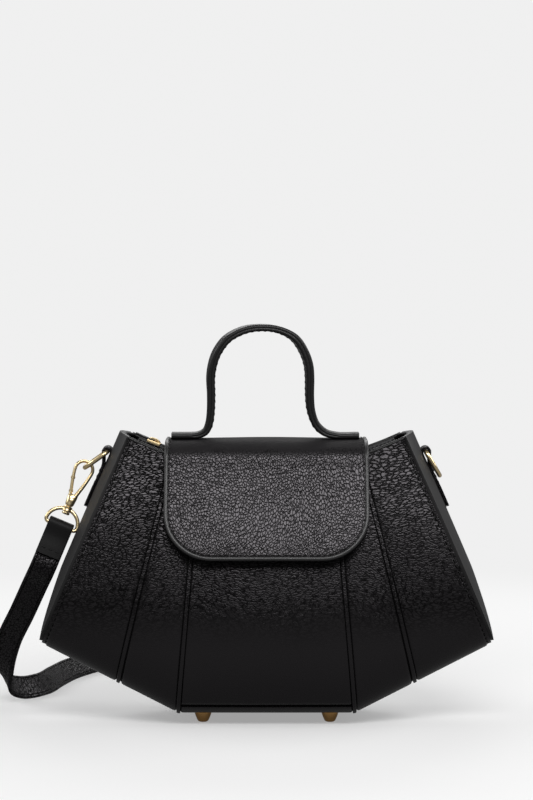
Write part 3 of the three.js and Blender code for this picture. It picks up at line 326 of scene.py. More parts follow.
class Value:
    """A shader value that takes part in Python expressions."""

    def __init__(self, finish, socket):
        self.finish = finish
        self.socket = socket

    def maths(self, operation, first, second):
        node = self.finish.node("ShaderNodeMath", {"operation": operation}, {0: first, 1: second})
        return Value(self.finish, node.outputs[0])

    def __add__(self, other):
        return self.maths("ADD", self, other)

    __radd__ = __add__

    def __sub__(self, other):
        return self.maths("SUBTRACT", self, other)

    def __rsub__(self, other):
        return self.maths("SUBTRACT", other, self)

    def __mul__(self, other):
        return self.maths("MULTIPLY", self, other)

    __rmul__ = __mul__

    def least(self, other):
        return self.maths("MINIMUM", self, other)

    def most(self, other):
        return self.maths("MAXIMUM", self, other)


class Finish:
    """One material, or the world, and the nodes that shade it."""

    def __init__(self, name, group="materials"):
        self.owner = getattr(bpy.data, group).new(name)
        self.owner.use_nodes = True
        self.tree = self.owner.node_tree
        self.tree.nodes.clear()

    def node(self, kind, settings=None, sockets=None):
        node = self.tree.nodes.new(kind)
        for key, value in (settings or {}).items():
            setattr(node, key, value)
        for key, value in (sockets or {}).items():
            if isinstance(value, Value):
                self.tree.links.new(value.socket, node.inputs[key])
            else:
                node.inputs[key].default_value = value
        return node

    def value(self, kind, settings=None, sockets=None, output=0):
        return Value(self, self.node(kind, settings, sockets).outputs[output])

    def place(self):
        return self.value("ShaderNodeTexCoord", output="Object")

    def ramp(self, value, low, high):
        """0 below low, 1 above high, smooth between them."""
        settings = {"interpolation_type": "SMOOTHSTEP"}
        return self.value("ShaderNodeMapRange", settings, {"Value": value, "From Min": low, "From Max": high})

    def mix(self, factor, first, second):
        settings = {"data_type": "RGBA"}
        sockets = {0: factor, 6: (*first, 1.0), 7: (*second, 1.0)}
        return self.value("ShaderNodeMix", settings, sockets, output=2)

    def noise(self, place, scale, detail=2.0, output=0):
        sockets = {"Vector": place, "Scale": scale, "Detail": detail}
        return self.value("ShaderNodeTexNoise", None, sockets, output)

    def vector(self, operation, first, second):
        sockets = {0: first, "Scale" if operation == "SCALE" else 1: second}
        return self.value("ShaderNodeVectorMath", {"operation": operation}, sockets)

    def bump(self, height, distance, strength=1.0):
        sockets = {"Strength": strength, "Distance": distance, "Height": height}
        return self.value("ShaderNodeBump", None, sockets, "Normal")

    def light_path(self):
        """Whether a ray comes from the camera, off a mirror or through glass."""
        ray = self.node("ShaderNodeLightPath")
        return [Value(self, ray.outputs[f"Is {kind} Ray"]) for kind in ("Camera", "Glossy", "Transmission")]

    def coat(self, sockets):
        return self.value("ShaderNodeBsdfPrincipled", None, sockets)

    def blend(self, share, first, second):
        return self.value("ShaderNodeMixShader", None, {0: share, 1: first, 2: second})

    def surface(self, shader, kind="Material"):
        self.node(f"ShaderNodeOutput{kind}", None, {"Surface": shader})
        return self.owner


def shade(colour, share):
    return tuple(channel * share for channel in colour)


def grained_leather(name, colour, pebble, depth, squeeze, shine, crack, fade=None, dull_and_shade=0.0):
    """Pebbled leather: rounded cells whose creases take a darker, matte coat, which is painted shade; across
    the fade heights the grain turns flatter and, by the given share, rougher and darker, the darkening also
    painted shade.
    """
    finish = Finish(name)
    place = finish.place()
    drift = finish.vector("SCALE", finish.noise(place, 0.6 / pebble, output="Color"), pebble * 0.9)
    sway = finish.vector("SCALE", finish.noise(place, SWAY_SCALE, 0.0, "Color"), SWAY_REACH)
    moved = finish.vector("ADD", finish.vector("ADD", place, drift), sway)
    sockets = {"Vector": finish.vector("MULTIPLY", moved, squeeze), "Scale": 1 / pebble, "Randomness": 1.0}
    cells = finish.value("ShaderNodeTexVoronoi", {"feature": "DISTANCE_TO_EDGE"}, sockets)
    slope = 1 - (cells * DOME_STEEPNESS).least(1.0)
    dome = 1 - slope * slope
    crease = 1 - (cells * (1 / crack)).least(1.0)
    fine = finish.noise(place, 2.2 / pebble, 3.0)
    wide = finish.noise(place, 22.0)
    amount = 0.65 + 0.6 * wide
    roughness = 0.24 + 0.08 * fine
    dark = crease * amount
    if fade:
        height = finish.value("ShaderNodeSeparateXYZ", None, {0: place}, "Z")
        share = finish.ramp(height + FADE_WANDER * (wide - 0.5), *fade)
        amount = amount * (0.12 + 0.88 * share)
        roughness = roughness + dull_and_shade * (1 - share)
        # Past the fade heights the dark groove coat is also mixed in by this share: painted shade on the
        # flap's crest.
        dark = (dark * (2 * share).least(1.0)).most(dull_and_shade * (1 - share))
    top = finish.coat({
        "Base Color": (*colour, 1.0),
        "Roughness": roughness,
        "Specular IOR Level": shine,
        "Specular Tint": LEATHER_TINT,
        "Normal": finish.bump((dome + 0.15 * fine) * amount, depth),
    })
    # The groove coat is this leather at 0.3 of its colour and nearly matte; mixed into the creases it is
    # painted shade.
    groove = finish.coat({
        "Base Color": (*shade(colour, 0.3), 1.0),
        "Roughness": 0.8,
        "Specular IOR Level": shine * shine * 0.25,
    })
    return finish.surface(finish.blend(dark, top, groove))


def smooth_leather(name, colour, roughness, shine=0.4):
    finish = Finish(name)
    place = finish.place()
    fine = finish.noise(place, 900.0, 3.0)
    wide = finish.noise(place, 60.0)
    return finish.surface(finish.coat({
        "Base Color": finish.mix(wide, shade(colour, 0.85), shade(colour, 1.15)),
        "Roughness": roughness + 0.08 * fine,
        "Specular IOR Level": shine,
        "Normal": finish.bump(fine + wide, 0.0002, 0.3),
    }))


def woven_cloth(name, colour):
    finish = Finish(name)
    sockets = {"Vector": finish.place(), "Scale": 480.0}
    warp, weft = (finish.value("ShaderNodeTexWave", {"bands_direction": axis}, sockets) for axis in "XZ")
    return finish.surface(finish.coat({
        "Base Color": finish.mix(warp * weft, shade(colour, 0.8), shade(colour, 1.4)),
        "Roughness": 0.85,
        "Specular IOR Level": 0.2,
        "Normal": finish.bump(warp + weft, 0.0002, 0.4),
    }))


def plated_metal(name, colour, roughness):
    finish = Finish(name)
    return finish.surface(finish.coat({
        "Base Color": (*colour, 1.0),
        "Metallic": 1.0,
        "Roughness": roughness + 0.06 * finish.noise(finish.place(), 700.0),
    }))


def plain_finish(name, colour, roughness):
    finish = Finish(name)
    return finish.surface(finish.coat({
        "Base Color": (*colour, 1.0),
        "Roughness": roughness,
        "Specular IOR Level": 0.25,
    }))


FINISHES = {}


def make_finishes(sizes, colours):
    """All materials of the bag, by the words that the pieces use."""
    grain = sizes.pebble
    # Body and strap use the flap's leather at 0.8 of its colour, a shaded copy of one leather: painted shade.
    dark = shade(colours.leather, 0.8)
    FINISHES["body"] = grained_leather(
        "body_leather", dark, grain, depth=0.00016, squeeze=(0.5, 1.0, 1.6), shine=0.38, crack=0.23,
        fade=(0.045, 0.105)
    )
    # The flap fades towards its crest, which is rougher there and darkened with painted shade.
    FINISHES["flap"] = grained_leather(
        "flap_leather", colours.leather, grain * 0.85, depth=0.00012, squeeze=(1.2, 1.0, 0.85), shine=0.47,
        crack=0.13, fade=(0.171, 0.163), dull_and_shade=0.5
    )
    FINISHES["strap"] = grained_leather(
        "strap_leather", dark, grain * 0.95, depth=0.00015, squeeze=(1.0, 1.0, 1.0), shine=0.33, crack=0.16
    )
    FINISHES["smooth"] = smooth_leather("gusset_leather", colours.smooth, 0.5)
    FINISHES["edge"] = smooth_leather("edge_leather", shade(colours.smooth, 0.4), 0.4)
    FINISHES["fold"] = smooth_leather("fold_leather", shade(colours.smooth, 0.4), 0.5, 0.2)
    # The rolled rim is the flap's leather made lighter and shinier than the other edges: painted highlight
    # along the rim.
    FINISHES["rim"] = smooth_leather("rim_leather", colours.smooth, 0.4, 0.7)
    FINISHES["thread"] = plain_finish("black_thread", colours.thread, 0.6)
    FINISHES["cloth"] = woven_cloth("lining_cloth", colours.cloth)
    FINISHES["gold"] = plated_metal("gold_plate", colours.gold, 0.26)
    # The feet's darker gold is partly a painted reflection of the black bag above them.
    FINISHES["foot"] = plated_metal("foot_gold", colours.foot, 0.3)
    FINISHES["satin"] = plated_metal("satin_gold", colours.gold, 0.45)
    FINISHES["steel"] = plated_metal("steel_plate", colours.steel, 0.3)


# Modelling helpers
def clear_selection():
    if bpy.context.mode != "OBJECT":
        bpy.ops.object.mode_set(mode="OBJECT")
    bpy.ops.object.select_all(action="DESELECT")


def pick(*pieces):
    """Selects pieces and makes the first one active."""
    clear_selection()
    for piece in pieces:
        piece.select_set(True)
    bpy.context.view_layer.objects.active = pieces[0]


def rename(piece, name):
    piece.name = name
    piece.data.name = name
    return piece


def unit(vector):
    vector = np.asarray(vector, float)
    return vector / np.linalg.norm(vector)


def sheet(name, across, along, place):
    """A grid moved point by point to a surface over two lists of stops."""
    clear_selection()
    columns = len(across) - 1
    rows = len(along) - 1
    bpy.ops.mesh.primitive_grid_add(x_subdivisions=columns, y_subdivisions=rows, size=1)
    piece = rename(bpy.context.object, name)
    for vertex in piece.data.vertices:
        i = round((vertex.co.x + 0.5) * columns)
        j = round((vertex.co.y + 0.5) * rows)
        vertex.co = [coordinate * MM for coordinate in place(across[i], along[j])]
    return piece


def weld(piece, fill=True):
    """Merges doubles, closes open ends and turns the faces outward."""
    pick(piece)
    bpy.ops.object.mode_set(mode="EDIT")
    bpy.ops.mesh.select_all(action="SELECT")
    bpy.ops.mesh.remove_doubles(threshold=1e-6)
    if fill:
        bpy.ops.mesh.fill_holes(sides=0)
    bpy.ops.mesh.select_all(action="SELECT")
    bpy.ops.mesh.normals_make_consistent(inside=False)
    bpy.ops.object.mode_set(mode="OBJECT")


def skin(name, rings, closed=False, angle=40):
    """A smooth closed form through a row of rings of points."""
    rows = list(range(len(rings))) + ([0] if closed else [])
    columns = list(range(len(rings[0]))) + [0]
    piece = sheet(name, columns, rows, lambda i, j: rings[j][i])
    weld(piece, not closed)
    smooth(piece, angle)
    return piece


def finish_with(piece, kind, **settings):
    """Adds one modifier and applies it."""
    pick(piece)
    modifier = piece.modifiers.new(kind.lower(), kind)
    for key, value in settings.items():
        setattr(modifier, key, value)
    bpy.ops.object.modifier_apply(modifier=modifier.name)


def thicken(piece, thickness, edge=0.0):
    finish_with(piece, "SOLIDIFY", thickness=thickness, offset=-1.0)
    if edge:
        limit = math.radians(50)
        finish_with(piece, "BEVEL", width=edge, segments=3, limit_method="ANGLE", angle_limit=limit)


def smooth(piece, angle=40):
    pick(piece)
    bpy.ops.object.shade_smooth_by_angle(angle=math.radians(angle))


def slab(name, across, along, place, thickness, edge=0.0):
    """A smooth sheet with a thickness."""
    piece = sheet(name, across, along, place)
    thicken(piece, thickness, edge)
    smooth(piece)
    return piece


def paint(piece, finish):
    piece.data.materials.clear()
    piece.data.materials.append(FINISHES[finish])


def settle(piece, body, finish, slot, *nodes):
    """Gives a finished piece its material and body, and hides the solids it stands for; slot is not used."""
    paint(piece, finish)
    if body:
        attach(piece, body)
    if nodes:
        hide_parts(*nodes)
    return piece


def join(name, pieces):
    """Joins pieces into the first one."""
    pick(*pieces)
    bpy.ops.object.join()
    return rename(pieces[0], name)


def arc(angles, radius, x=0.0, y=0.0, height=None):
    """Pairs on a circle, or on an oval of another height, at angles in degrees."""
    height = radius if height is None else height
    turns = [math.radians(angle) for angle in angles]
    return [(x + radius * math.cos(turn), y + height * math.sin(turn)) for turn in turns]


def oval(half_width, half_height, steps):
    return arc([360 * k / steps for k in range(steps)], half_width, height=half_height)


def round_section(half_width, half_thickness, corner, steps=4):
    """A rounded oblong outline as pairs, counter-clockwise."""
    outline = []
    for turn, (x, y) in enumerate(((1, 1), (-1, 1), (-1, -1), (1, -1))):
        angles = [90 * turn + 90 * step / steps for step in range(steps + 1)]
        outline += arc(angles, corner, x * (half_width - corner), y * (half_thickness - corner))
    return outline


def mirrored(pairs):
    return [(-a, b) for a, b in pairs[::-1]]


def vector_at(distance, places, vectors):
    """A vector between the given ones, by distance."""
    return np.array([np.interp(distance, places, vectors[:, k]) for k in range(3)])


def ring_of(centre, side, face, outline):
    return [centre + a * side + b * face for a, b in outline]


HEADING_STEP = 0.05
SHORTEST_LEG = 1e-6


class Route:
    """A smooth curve through stops, measured along its length."""

    def __init__(self, stops, closed=False, detail=24):
        stops = [np.asarray(stop, float) for stop in stops]
        count = len(stops)
        spans = count if closed else count - 1
        points = [stops[0]]
        for i in range(spans):
            first = stops[i]
            second = stops[(i + 1) % count]
            before = stops[i - 1] if closed or i > 0 else 2 * first - second
            after = stops[(i + 2) % count] if closed or i + 2 < count else 2 * second - first
            points += self.span(before, first, second, after, detail)
        self.points = np.array(points)
        steps = np.linalg.norm(np.diff(self.points, axis=0), axis=1)
        self.reach = np.concatenate(([0.0], np.cumsum(steps)))
        self.length = float(self.reach[-1])

    @staticmethod
    def span(before, first, second, after, detail):
        legs = (first - before, second - first, after - second)
        pace = [max(SHORTEST_LEG, np.linalg.norm(leg)) ** 0.5 for leg in legs]
        start = legs[0] / pace[0] - (second - before) / (pace[0] + pace[1]) + legs[1] / pace[1]
        end = legs[1] / pace[1] - (after - first) / (pace[1] + pace[2]) + legs[2] / pace[2]
        start = start * pace[1]
        end = end * pace[1]
        cubic = 2 * first - 2 * second + start + end
        square = -3 * first + 3 * second - 2 * start - end
        shares = [(k + 1) / detail for k in range(detail)]
        return [first + start * t + square * t**2 + cubic * t**3 for t in shares]

    def at(self, distance):
        return vector_at(distance, self.reach, self.points)

    def heading(self, distance):
        low = max(0.0, distance - HEADING_STEP)
        high = min(self.length, distance + HEADING_STEP)
        return unit(self.at(high) - self.at(low))


def stops_between(low, high, count):
    return [low + (high - low) * i / count for i in range(count + 1)]


WIRE_SIDES = 14
ASLANT = (0.3, 0.9, 0.2)


def wire(name, stops, plane, thick, deep, count, closed=False, taper=None):
    """A round or oval wire along a flat curve."""
    route = Route(stops, closed)
    plane = unit(plane)
    rings = []
    for i in range(count + (0 if closed else 1)):
        distance = route.length * i / count
        centre = route.at(distance)
        side = np.cross(plane, route.heading(distance))
        scale = np.interp(i / count, *taper) if taper else 1.0
        rings.append(ring_of(centre, side, plane, oval(thick * scale, deep * scale, WIRE_SIDES)))
    return skin(name, rings, closed, angle=50)


def turned(name, base, axis, profile, steps=28):
    """A round piece from [radius, height] pairs along an axis."""
    axis = unit(axis)
    side = unit(np.cross(axis, ASLANT))
    face = np.cross(axis, side)
    base = np.asarray(base, float)
    rings = [ring_of(base + axis * h, side, face, oval(r, r, steps)) for r, h in profile]
    return skin(name, rings, angle=35)


def copies(name, source, matrices):
    """One mesh made of many moved copies of a small form, which it takes over."""
    points = np.array([vertex.co[:] for vertex in source.data.vertices])
    faces = [tuple(polygon.vertices) for polygon in source.data.polygons]
    all_points = []
    all_faces = []
    for axes, centre in matrices:
        start = len(all_points)
        all_points += [tuple(p) for p in (points @ np.array(axes) + np.array(centre)) * MM]
        all_faces += [tuple(start + k for k in face) for face in faces]
    source.data.clear_geometry()
    source.data.from_pydata(all_points, [], all_faces)
    source.data.update()
    smooth(source, 60)
    return rename(source, name)


STITCH_SINK = 0.1
STITCH_PROUD = 0.6


def stitch_row(name, body, path, normal_at, sizes):
    """Stitches along a route; normal_at gives the surface direction at a distance."""
    clear_selection()
    bpy.ops.mesh.primitive_uv_sphere_add(segments=6, ring_count=5, radius=1.0)
    source = bpy.context.object
    step = (sizes.stitch + sizes.stitch_gap) / MM
    radius = sizes.thread / MM
    count = max(1, int(path.length / step))
    matrices = []
    for i in range(count):
        distance = (i + 0.5) * path.length / count
        along = path.heading(distance)
        up = normal_at(distance)
        up = unit(up - along * np.dot(up, along))
        side = np.cross(up, along)
        axes = (along * sizes.stitch / MM / 2, side * radius, up * radius)
        matrices.append((axes, path.at(distance) + up * (radius - STITCH_SINK) * STITCH_PROUD))
    settle(copies(name, source, matrices), body, "thread", "grained_leather")


# Body surface: u runs across the bag, v wraps from the front mouth under the base to the back
def between(value, places, values):
    i = 1
    while i < len(places) - 1 and value > places[i]:
        i += 1
    share = (value - places[i - 1]) / (places[i] - places[i - 1])
    return values[i - 1] + (values[i] - values[i - 1]) * share


def mouth_height(x):
    return MOUTH_APEX - math.sqrt(MOUTH_RADIUS**2 - x**2)


class Column:
    """One line of the body from the mouth to the base."""

    def __init__(self, u):
        self.side = -1.0 if u < 0 else 1.0
        self.bottom_x = abs(u) * BOTTOM_WIDTH / 2
        self.top_x = between(self.bottom_x, SEAM_BOTTOMS, SEAM_TOPS)
        outside = max(0.0, self.bottom_x - BASE_WIDTH / 2)
        self.bow = COLUMN_BOW * min(1.0, outside / ((SHOULDER_WIDTH - BASE_WIDTH) / 2))
        self.top_z = mouth_height(self.top_x)
        self.bottom_z = FOOT_HEIGHT + outside * BOTTOM_SLOPE
        self.depth = 1 - (1 - SIDE_DEPTH_RATIO) * u * u
        self.length = math.hypot(self.bottom_x - self.top_x, self.top_z - self.bottom_z)

    def profile(self, place):
        """Height above the bottom and half depth at a place on the wrap."""
        mouth = MOUTH_DEPTH / 2
        belly = BELLY_DEPTH / 2
        base = BASE_DEPTH / 2
        if place >= BELLY_AT:
            w = (place - BELLY_AT) / (1 - BELLY_AT)
            depth = mouth + (belly - mouth) * math.sin((1 - w) * math.pi / 2)
            return BELLY_HEIGHT + (self.length - BELLY_HEIGHT) * w, depth
        if place >= FLAT_AT:
            angle = (BELLY_AT - place) / (BELLY_AT - FLAT_AT) * math.pi / 2
            depth = base + (belly - base) * max(0.0, math.cos(angle)) ** (2 / CORNER_POWER)
            return BELLY_HEIGHT * (1 - math.sin(angle) ** (2 / CORNER_POWER)), depth
        return 0.0, base * place / FLAT_AT

    def point(self, height, y):
        t = 1 - height / self.length
        bow = self.bow * math.sin(math.pi * max(0.0, t) ** BOW_POWER)
        x = self.top_x + (self.bottom_x - self.top_x) * t + bow
        z = self.top_z + (self.bottom_z - self.top_z) * t
        return np.array((self.side * x, y * self.depth, z))


def body_point(u, v):
    column = Column(u)
    height, depth = column.profile(abs(v))
    return column.point(height, math.copysign(depth, v))


STEP_ACROSS = 0.02
STEP_ALONG = 0.01


def wrap_heading(u, v):
    return unit(body_point(u, v + STEP_ALONG) - body_point(u, v - STEP_ALONG))


def body_normal(u, v):
    across = body_point(u + STEP_ACROSS, v) - body_point(u - STEP_ACROSS, v)
    return unit(np.cross(wrap_heading(u, v), across))


def body_lift(u, v, lift):
    return body_point(u, v) + body_normal(u, v) * lift


HALVINGS = 22


def wall_depth(x, z):
    """Half depth of the wall at a point of the front view, found by halving."""
    low = 0.0
    high = 1.0
    depth = 0.0
    for _ in range(HALVINGS):
        column = Column((low + high) / 2)
        height = column.length * (1 - (column.top_z - z) / (column.top_z - column.bottom_z))
        w = min(1.0, max(0.0, (height - BELLY_HEIGHT) / (column.length - BELLY_HEIGHT)))
        depth = column.profile(BELLY_AT + w * (1 - BELLY_AT))[1] * column.depth
        if abs(column.point(height, 0.0)[0]) < x:
            low = (low + high) / 2
        else:
            high = (low + high) / 2
    return depth


WRAP = stops_between(1, BELLY_AT, 34) + stops_between(BELLY_AT, FLAT_AT, 26)[1:] + [0.11, 0.07, 0.03]
FULL_WRAP = [-v for v in WRAP] + [0.0] + WRAP[::-1]


def panel_puff(share, v):
    """How far a panel swells between its seams, with a slight ripple."""
    rise = math.sin(math.pi * min(1.0, max(0.0, (abs(v) - PUFF_FROM) / (1 - PUFF_FROM))))
    swell = PANEL_SWELL * (1 - (2 * share - 1) ** 2) * rise
    ripple = PANEL_RIPPLE * math.sin(9 * share + 5 * v) * math.sin(11 * v - 4 * share + 1.0) * rise
    return swell + ripple


def panel_stops(low, high, width, count):
    """Stops across a panel, close together beside its two seams."""
    edge = [0.0, 0.9, 1.3, 1.7, 2.1, 2.6, 3.1, 3.7, 5.0]
    near = [offset / width for offset in edge]
    middle = stops_between(near[-1], 1 - near[-1], count)[1:-1]
    shares = near + middle + [1 - share for share in near[::-1]]
    return [(low + (high - low) * share, share) for share in shares]


def panel(node, low, high, width, count, wrap, sizes, ends=False):
    """One leather between two seams, which also dips at the base seam if it ends there."""

    def place(v, stop):
        u, share = stop
        from_edge = min(share, 1 - share) * width
        lift = panel_puff(share, v)
        if abs(u) > (1 + OUTER_SEAM) / 2:
            lift += np.interp(from_edge, *SIDE_GROOVE)
        else:
            lift += np.interp(abs(v), *PINCH_FADE) * np.interp(from_edge, *SEAM_PINCH)
        if ends:
            lift += np.interp((abs(v) - BASE_SEAM_AT) * WRAP_LENGTH, *SEAM_PINCH)
        return body_lift(u, v, lift)

    piece = slab(f"{node}_skin", wrap, panel_stops(low, high, width, count), place, sizes.wall)
    settle(piece, "bag", "body", "grained_leather", node)


class BAG_OT_panels(bpy.types.Operator):
    """Front, back and base panels and the strips beside them"""

    bl_idname = "bag.panels"
    bl_label = "Body Panels"

    def execute(self, context):
        sizes = context.scene.bag_sizes
        seam = [BASE_SEAM_AT + d for d in (0.03, 0.018, 0.01, 0.004, 0.0005)]
        upper = [v for v in WRAP if v > BASE_SEAM_AT + 0.035] + seam
        lower = [v for v in WRAP if v < BASE_SEAM_AT - 0.005]
        base = [-BASE_SEAM_AT] + [-v for v in lower] + [0.0] + lower[::-1] + [BASE_SEAM_AT]
        centre = (-INNER_SEAM, INNER_SEAM, CENTRE_WIDTH)
        panel("front_panel", *centre, 22, [-v for v in upper], sizes, True)
        panel("back_panel", *centre, 22, upper[::-1], sizes, True)
        panel("base_panel", *centre, 14, base, sizes)
        for word, side in SIDES:
            inner = sorted((side * INNER_SEAM, side * OUTER_SEAM))
            outer = sorted((side * OUTER_SEAM, side * 1.0))
            panel(f"inner_strip_{word}", *inner, INNER_WIDTH, 8, FULL_WRAP, sizes)
            panel(f"outer_strip_{word}", *outer, OUTER_WIDTH, 12, FULL_WRAP, sizes)
        return {"FINISHED"}


def seam_welt(name, u, sizes):
    """A raised strip along one seam of the body, from mouth to mouth."""
    half = sizes.welt_width / MM / 2
    rise = sizes.welt_height / MM
    edge = [(-half, -WELT_ROOT), (-half, rise * 0.2), (-half * 0.75, rise * 0.8)]
    outline = edge + [(0.0, rise)] + mirrored(edge)
    rings = []
    for v in FULL_WRAP:
        face = body_normal(u, v)
        rings.append(ring_of(body_point(u, v), np.cross(wrap_heading(u, v), face), face, outline))
    settle(skin(name, rings, angle=35), "bag", "body", "grained_leather")


def mouth_hem(name, v, sizes):
    """The folded edge along the front or back of the mouth."""
    wall = sizes.wall / MM
    outline = round_section(HEM_HALF, (wall + HEM_EXTRA) / 2, 1.0)
    rings = []
    for u in stops_between(-1, 1, 64):
        top = body_point(u, v)
        up = unit(top - body_point(u, v * BELOW_MOUTH))
        face = body_normal(u, v * BESIDE_MOUTH)
        rings.append(ring_of(top - up * HEM_DROP - face * (wall / 2 - HEM_SINK), up, face, outline))
    settle(skin(name, rings), "bag", "edge", "grained_leather")


def side_row(name, side, sign, sizes):
    """Stitches in the groove beside a gusset."""
    inset = SIDE_STITCH_INSET / OUTER_WIDTH
    u = side * (1 - inset * (1 - OUTER_SEAM))
    share = inset if side < 0 else 1 - inset
    places = [(u, sign * v) for v in stops_between(*SIDE_ROW_ENDS, 60)]
    path = Route([body_lift(u, v, panel_puff(share, v) - SIDE_STITCH_SINK) for u, v in places], detail=4)
    normals = np.array([body_normal(u, v) for u, v in places])
    reach = np.linspace(0, path.length, len(places))
    stitch_row(name, "bag", path, lambda d: vector_at(d, reach, normals), sizes)


class BAG_OT_seams(bpy.types.Operator):
    """Welts along the seams, the hem of the mouth and the stitching"""

    bl_idname = "bag.seams"
    bl_label = "Seams and Hems"

    def execute(self, context):
        sizes = context.scene.bag_sizes
        for word, side in SIDES:
            seam_welt(f"inner_welt_{word}", side * INNER_SEAM, sizes)
            seam_welt(f"outer_welt_{word}", side * OUTER_SEAM, sizes)
            for face, sign in FACES:
                side_row(f"side_stitches_{face}_{word}", side, sign, sizes)
        mouth_hem("mouth_hem_front", -1.0, sizes)
        mouth_hem("mouth_hem_back", 1.0, sizes)
        return {"FINISHED"}


SIDE_END = Column(1.0)
SIDE_SLOPE = math.atan2(SIDE_END.bottom_x - SIDE_END.top_x, SIDE_END.top_z - SIDE_END.bottom_z)


def outward(side):
    """Direction that a gusset faces."""
    return np.array((side * math.cos(SIDE_SLOPE), 0.0, math.sin(SIDE_SLOPE)))


def gusset_point(side, place, across):
    edge = body_lift(side, -place, -GUSSET_SINK)
    fade = min(1.0, max(0.0, (place - FLAT_AT) / (BELLY_AT - FLAT_AT)))
    bulge = GUSSET_BULGE * fade * (1 - across * across)
    return np.array((edge[0], -edge[1] * across, edge[2])) + outward(side) * bulge


class BAG_OT_gussets(bpy.types.Operator):
    """Smooth side gussets with a folded top edge"""

    bl_idname = "bag.gussets"
    bl_label = "Side Gussets"

    def execute(self, context):
        sizes = context.scene.bag_sizes
        places = [v for v in WRAP if v >= FLAT_AT]
        across = [math.sin(math.pi / 2 * share) for share in stops_between(-1, 1, 28)]
        for word, side in SIDES:
            order = across if side > 0 else across[::-1]
            piece = slab(f"gusset_{word}_skin", places[::-1], order,
                         lambda place, c, side=side: gusset_point(side, place, c), sizes.wall)
            settle(piece, "bag", "smooth", "smooth_leather", f"gusset_{word}")
            outline = round_section(*GUSSET_HEM_SECTION)
            rings = []
            for c in across:
                top = gusset_point(side, 1.0, c)
                up = unit(top - gusset_point(side, BELOW_MOUTH, c))
                face = outward(side)
                rings.append(ring_of(top - up - face * GUSSET_HEM_SINK, up, face, outline))
            settle(skin(f"gusset_hem_{word}", rings), "bag", "edge", "smooth_leather")
        return {"FINISHED"}


class BAG_OT_lining(bpy.types.Operator):
    """Cloth lining, a cup inside the panels"""

    bl_idname = "bag.lining"
    bl_label = "Lining"

    def execute(self, context):
        side = 0.962
        floor = 6.1
        inset = 3.1
        top = 0.975
        below_top = 0.96
        wrap = [top] + [v for v in WRAP if FLAT_AT < v < below_top]
        full = [-v for v in wrap] + wrap[::-1]
        ends = [(-side, k) for k in (0.0, 0.35, 0.7)]
        stops = ends + [(u, 1.0) for u in stops_between(-side, side, 32)] + [(side, k) for _, k in ends[::-1]]

        def place(v, stop):
            u, reach = stop
            column = Column(u)
            height, depth = column.profile(abs(v))
            return column.point(max(height, floor), math.copysign((depth - inset) * reach, v))

        piece = sheet("lining_cup", full, stops, place)
        weld(piece, False)
        thicken(piece, LINING_CLOTH)
        smooth(piece)
        settle(piece, "bag", "cloth", "black_cloth", "lining")
        return {"FINISHED"}


class BAG_OT_base(bpy.types.Operator):
    """Turned feet under the base, with the board and washers inside"""

    bl_idname = "bag.base"
    bl_label = "Feet and Board"

    def execute(self, context):
        for name in (f"{face}_{word}" for face, _ in FACES for word, _ in SIDES):
            low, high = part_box(f"foot_{name}")
            centre = ((low.x + high.x) / 2 / MM, (low.y + high.y) / 2 / MM, 0.0)
            piece = turned(f"foot_{name}_turned", centre, UP, FOOT_PROFILE)
            settle(piece, "bag", "foot", "gold_metal", f"foot_{name}")
            paint(frame["nodes"][f"foot_washer_{name}"], "steel")
        paint(frame["nodes"]["base_board"], "cloth")
        return {"FINISHED"}


def on_arc(radius, angle, y):
    return np.array((radius * math.sin(angle), y, MOUTH_APEX - radius * math.cos(angle)))


def arc_axes(angle):
    """Directions along the mouth and up from it."""
    sine = math.sin(angle)
    cosine = math.cos(angle)
    return np.array((cosine, 0.0, sine)), np.array((-sine, 0.0, cosine))


def zip_teeth(name, first, last, side):
    """Moulded teeth along one edge of a tape."""
    clear_selection()
    bpy.ops.mesh.primitive_cube_add(size=1.0)
    source = bpy.context.object
    finish_with(source, "BEVEL", width=0.2, segments=1)
    count = int((last - first) / TOOTH_PITCH)
    length, width, height = TOOTH_SIZE
    matrices = []
    for i in range(count):
        angle = math.asin((first + (i + 0.5) * (last - first) / count + side * TOOTH_STAGGER) / TAPE_RADIUS)
        along, up = arc_axes(angle)
        axes = (along * length, ACROSS * width, up * height)
        matrices.append((axes, on_arc(TAPE_RADIUS, angle, side * TOOTH_OFFSET)))
    return copies(name, source, matrices)


def zip_tape(first, last, low, high):
    angles = [math.asin(x / TAPE_RADIUS) for x in stops_between(first, last, 24)]

    def place(angle, y):
        narrowing = TAPE_NARROWING * (TAPE_RADIUS * math.sin(angle) / TAPE_HALF) ** 2
        return on_arc(TAPE_RADIUS - TAPE_SINK, angle, y * (1 - narrowing))

    return slab("tape", angles, stops_between(low, high, 8), place, TAPE_CLOTH)


def zip_part(node, body, first, last, edges, sides):
    """A length of tape with teeth on the given sides of the middle."""
    parts = [zip_tape(first, last, *edges)] + [zip_teeth("teeth", first, last, side) for side in sides]
    piece = join(f"{node}_woven", parts)
    smooth(piece)
    settle(piece, body, "cloth", "black_cloth", node)


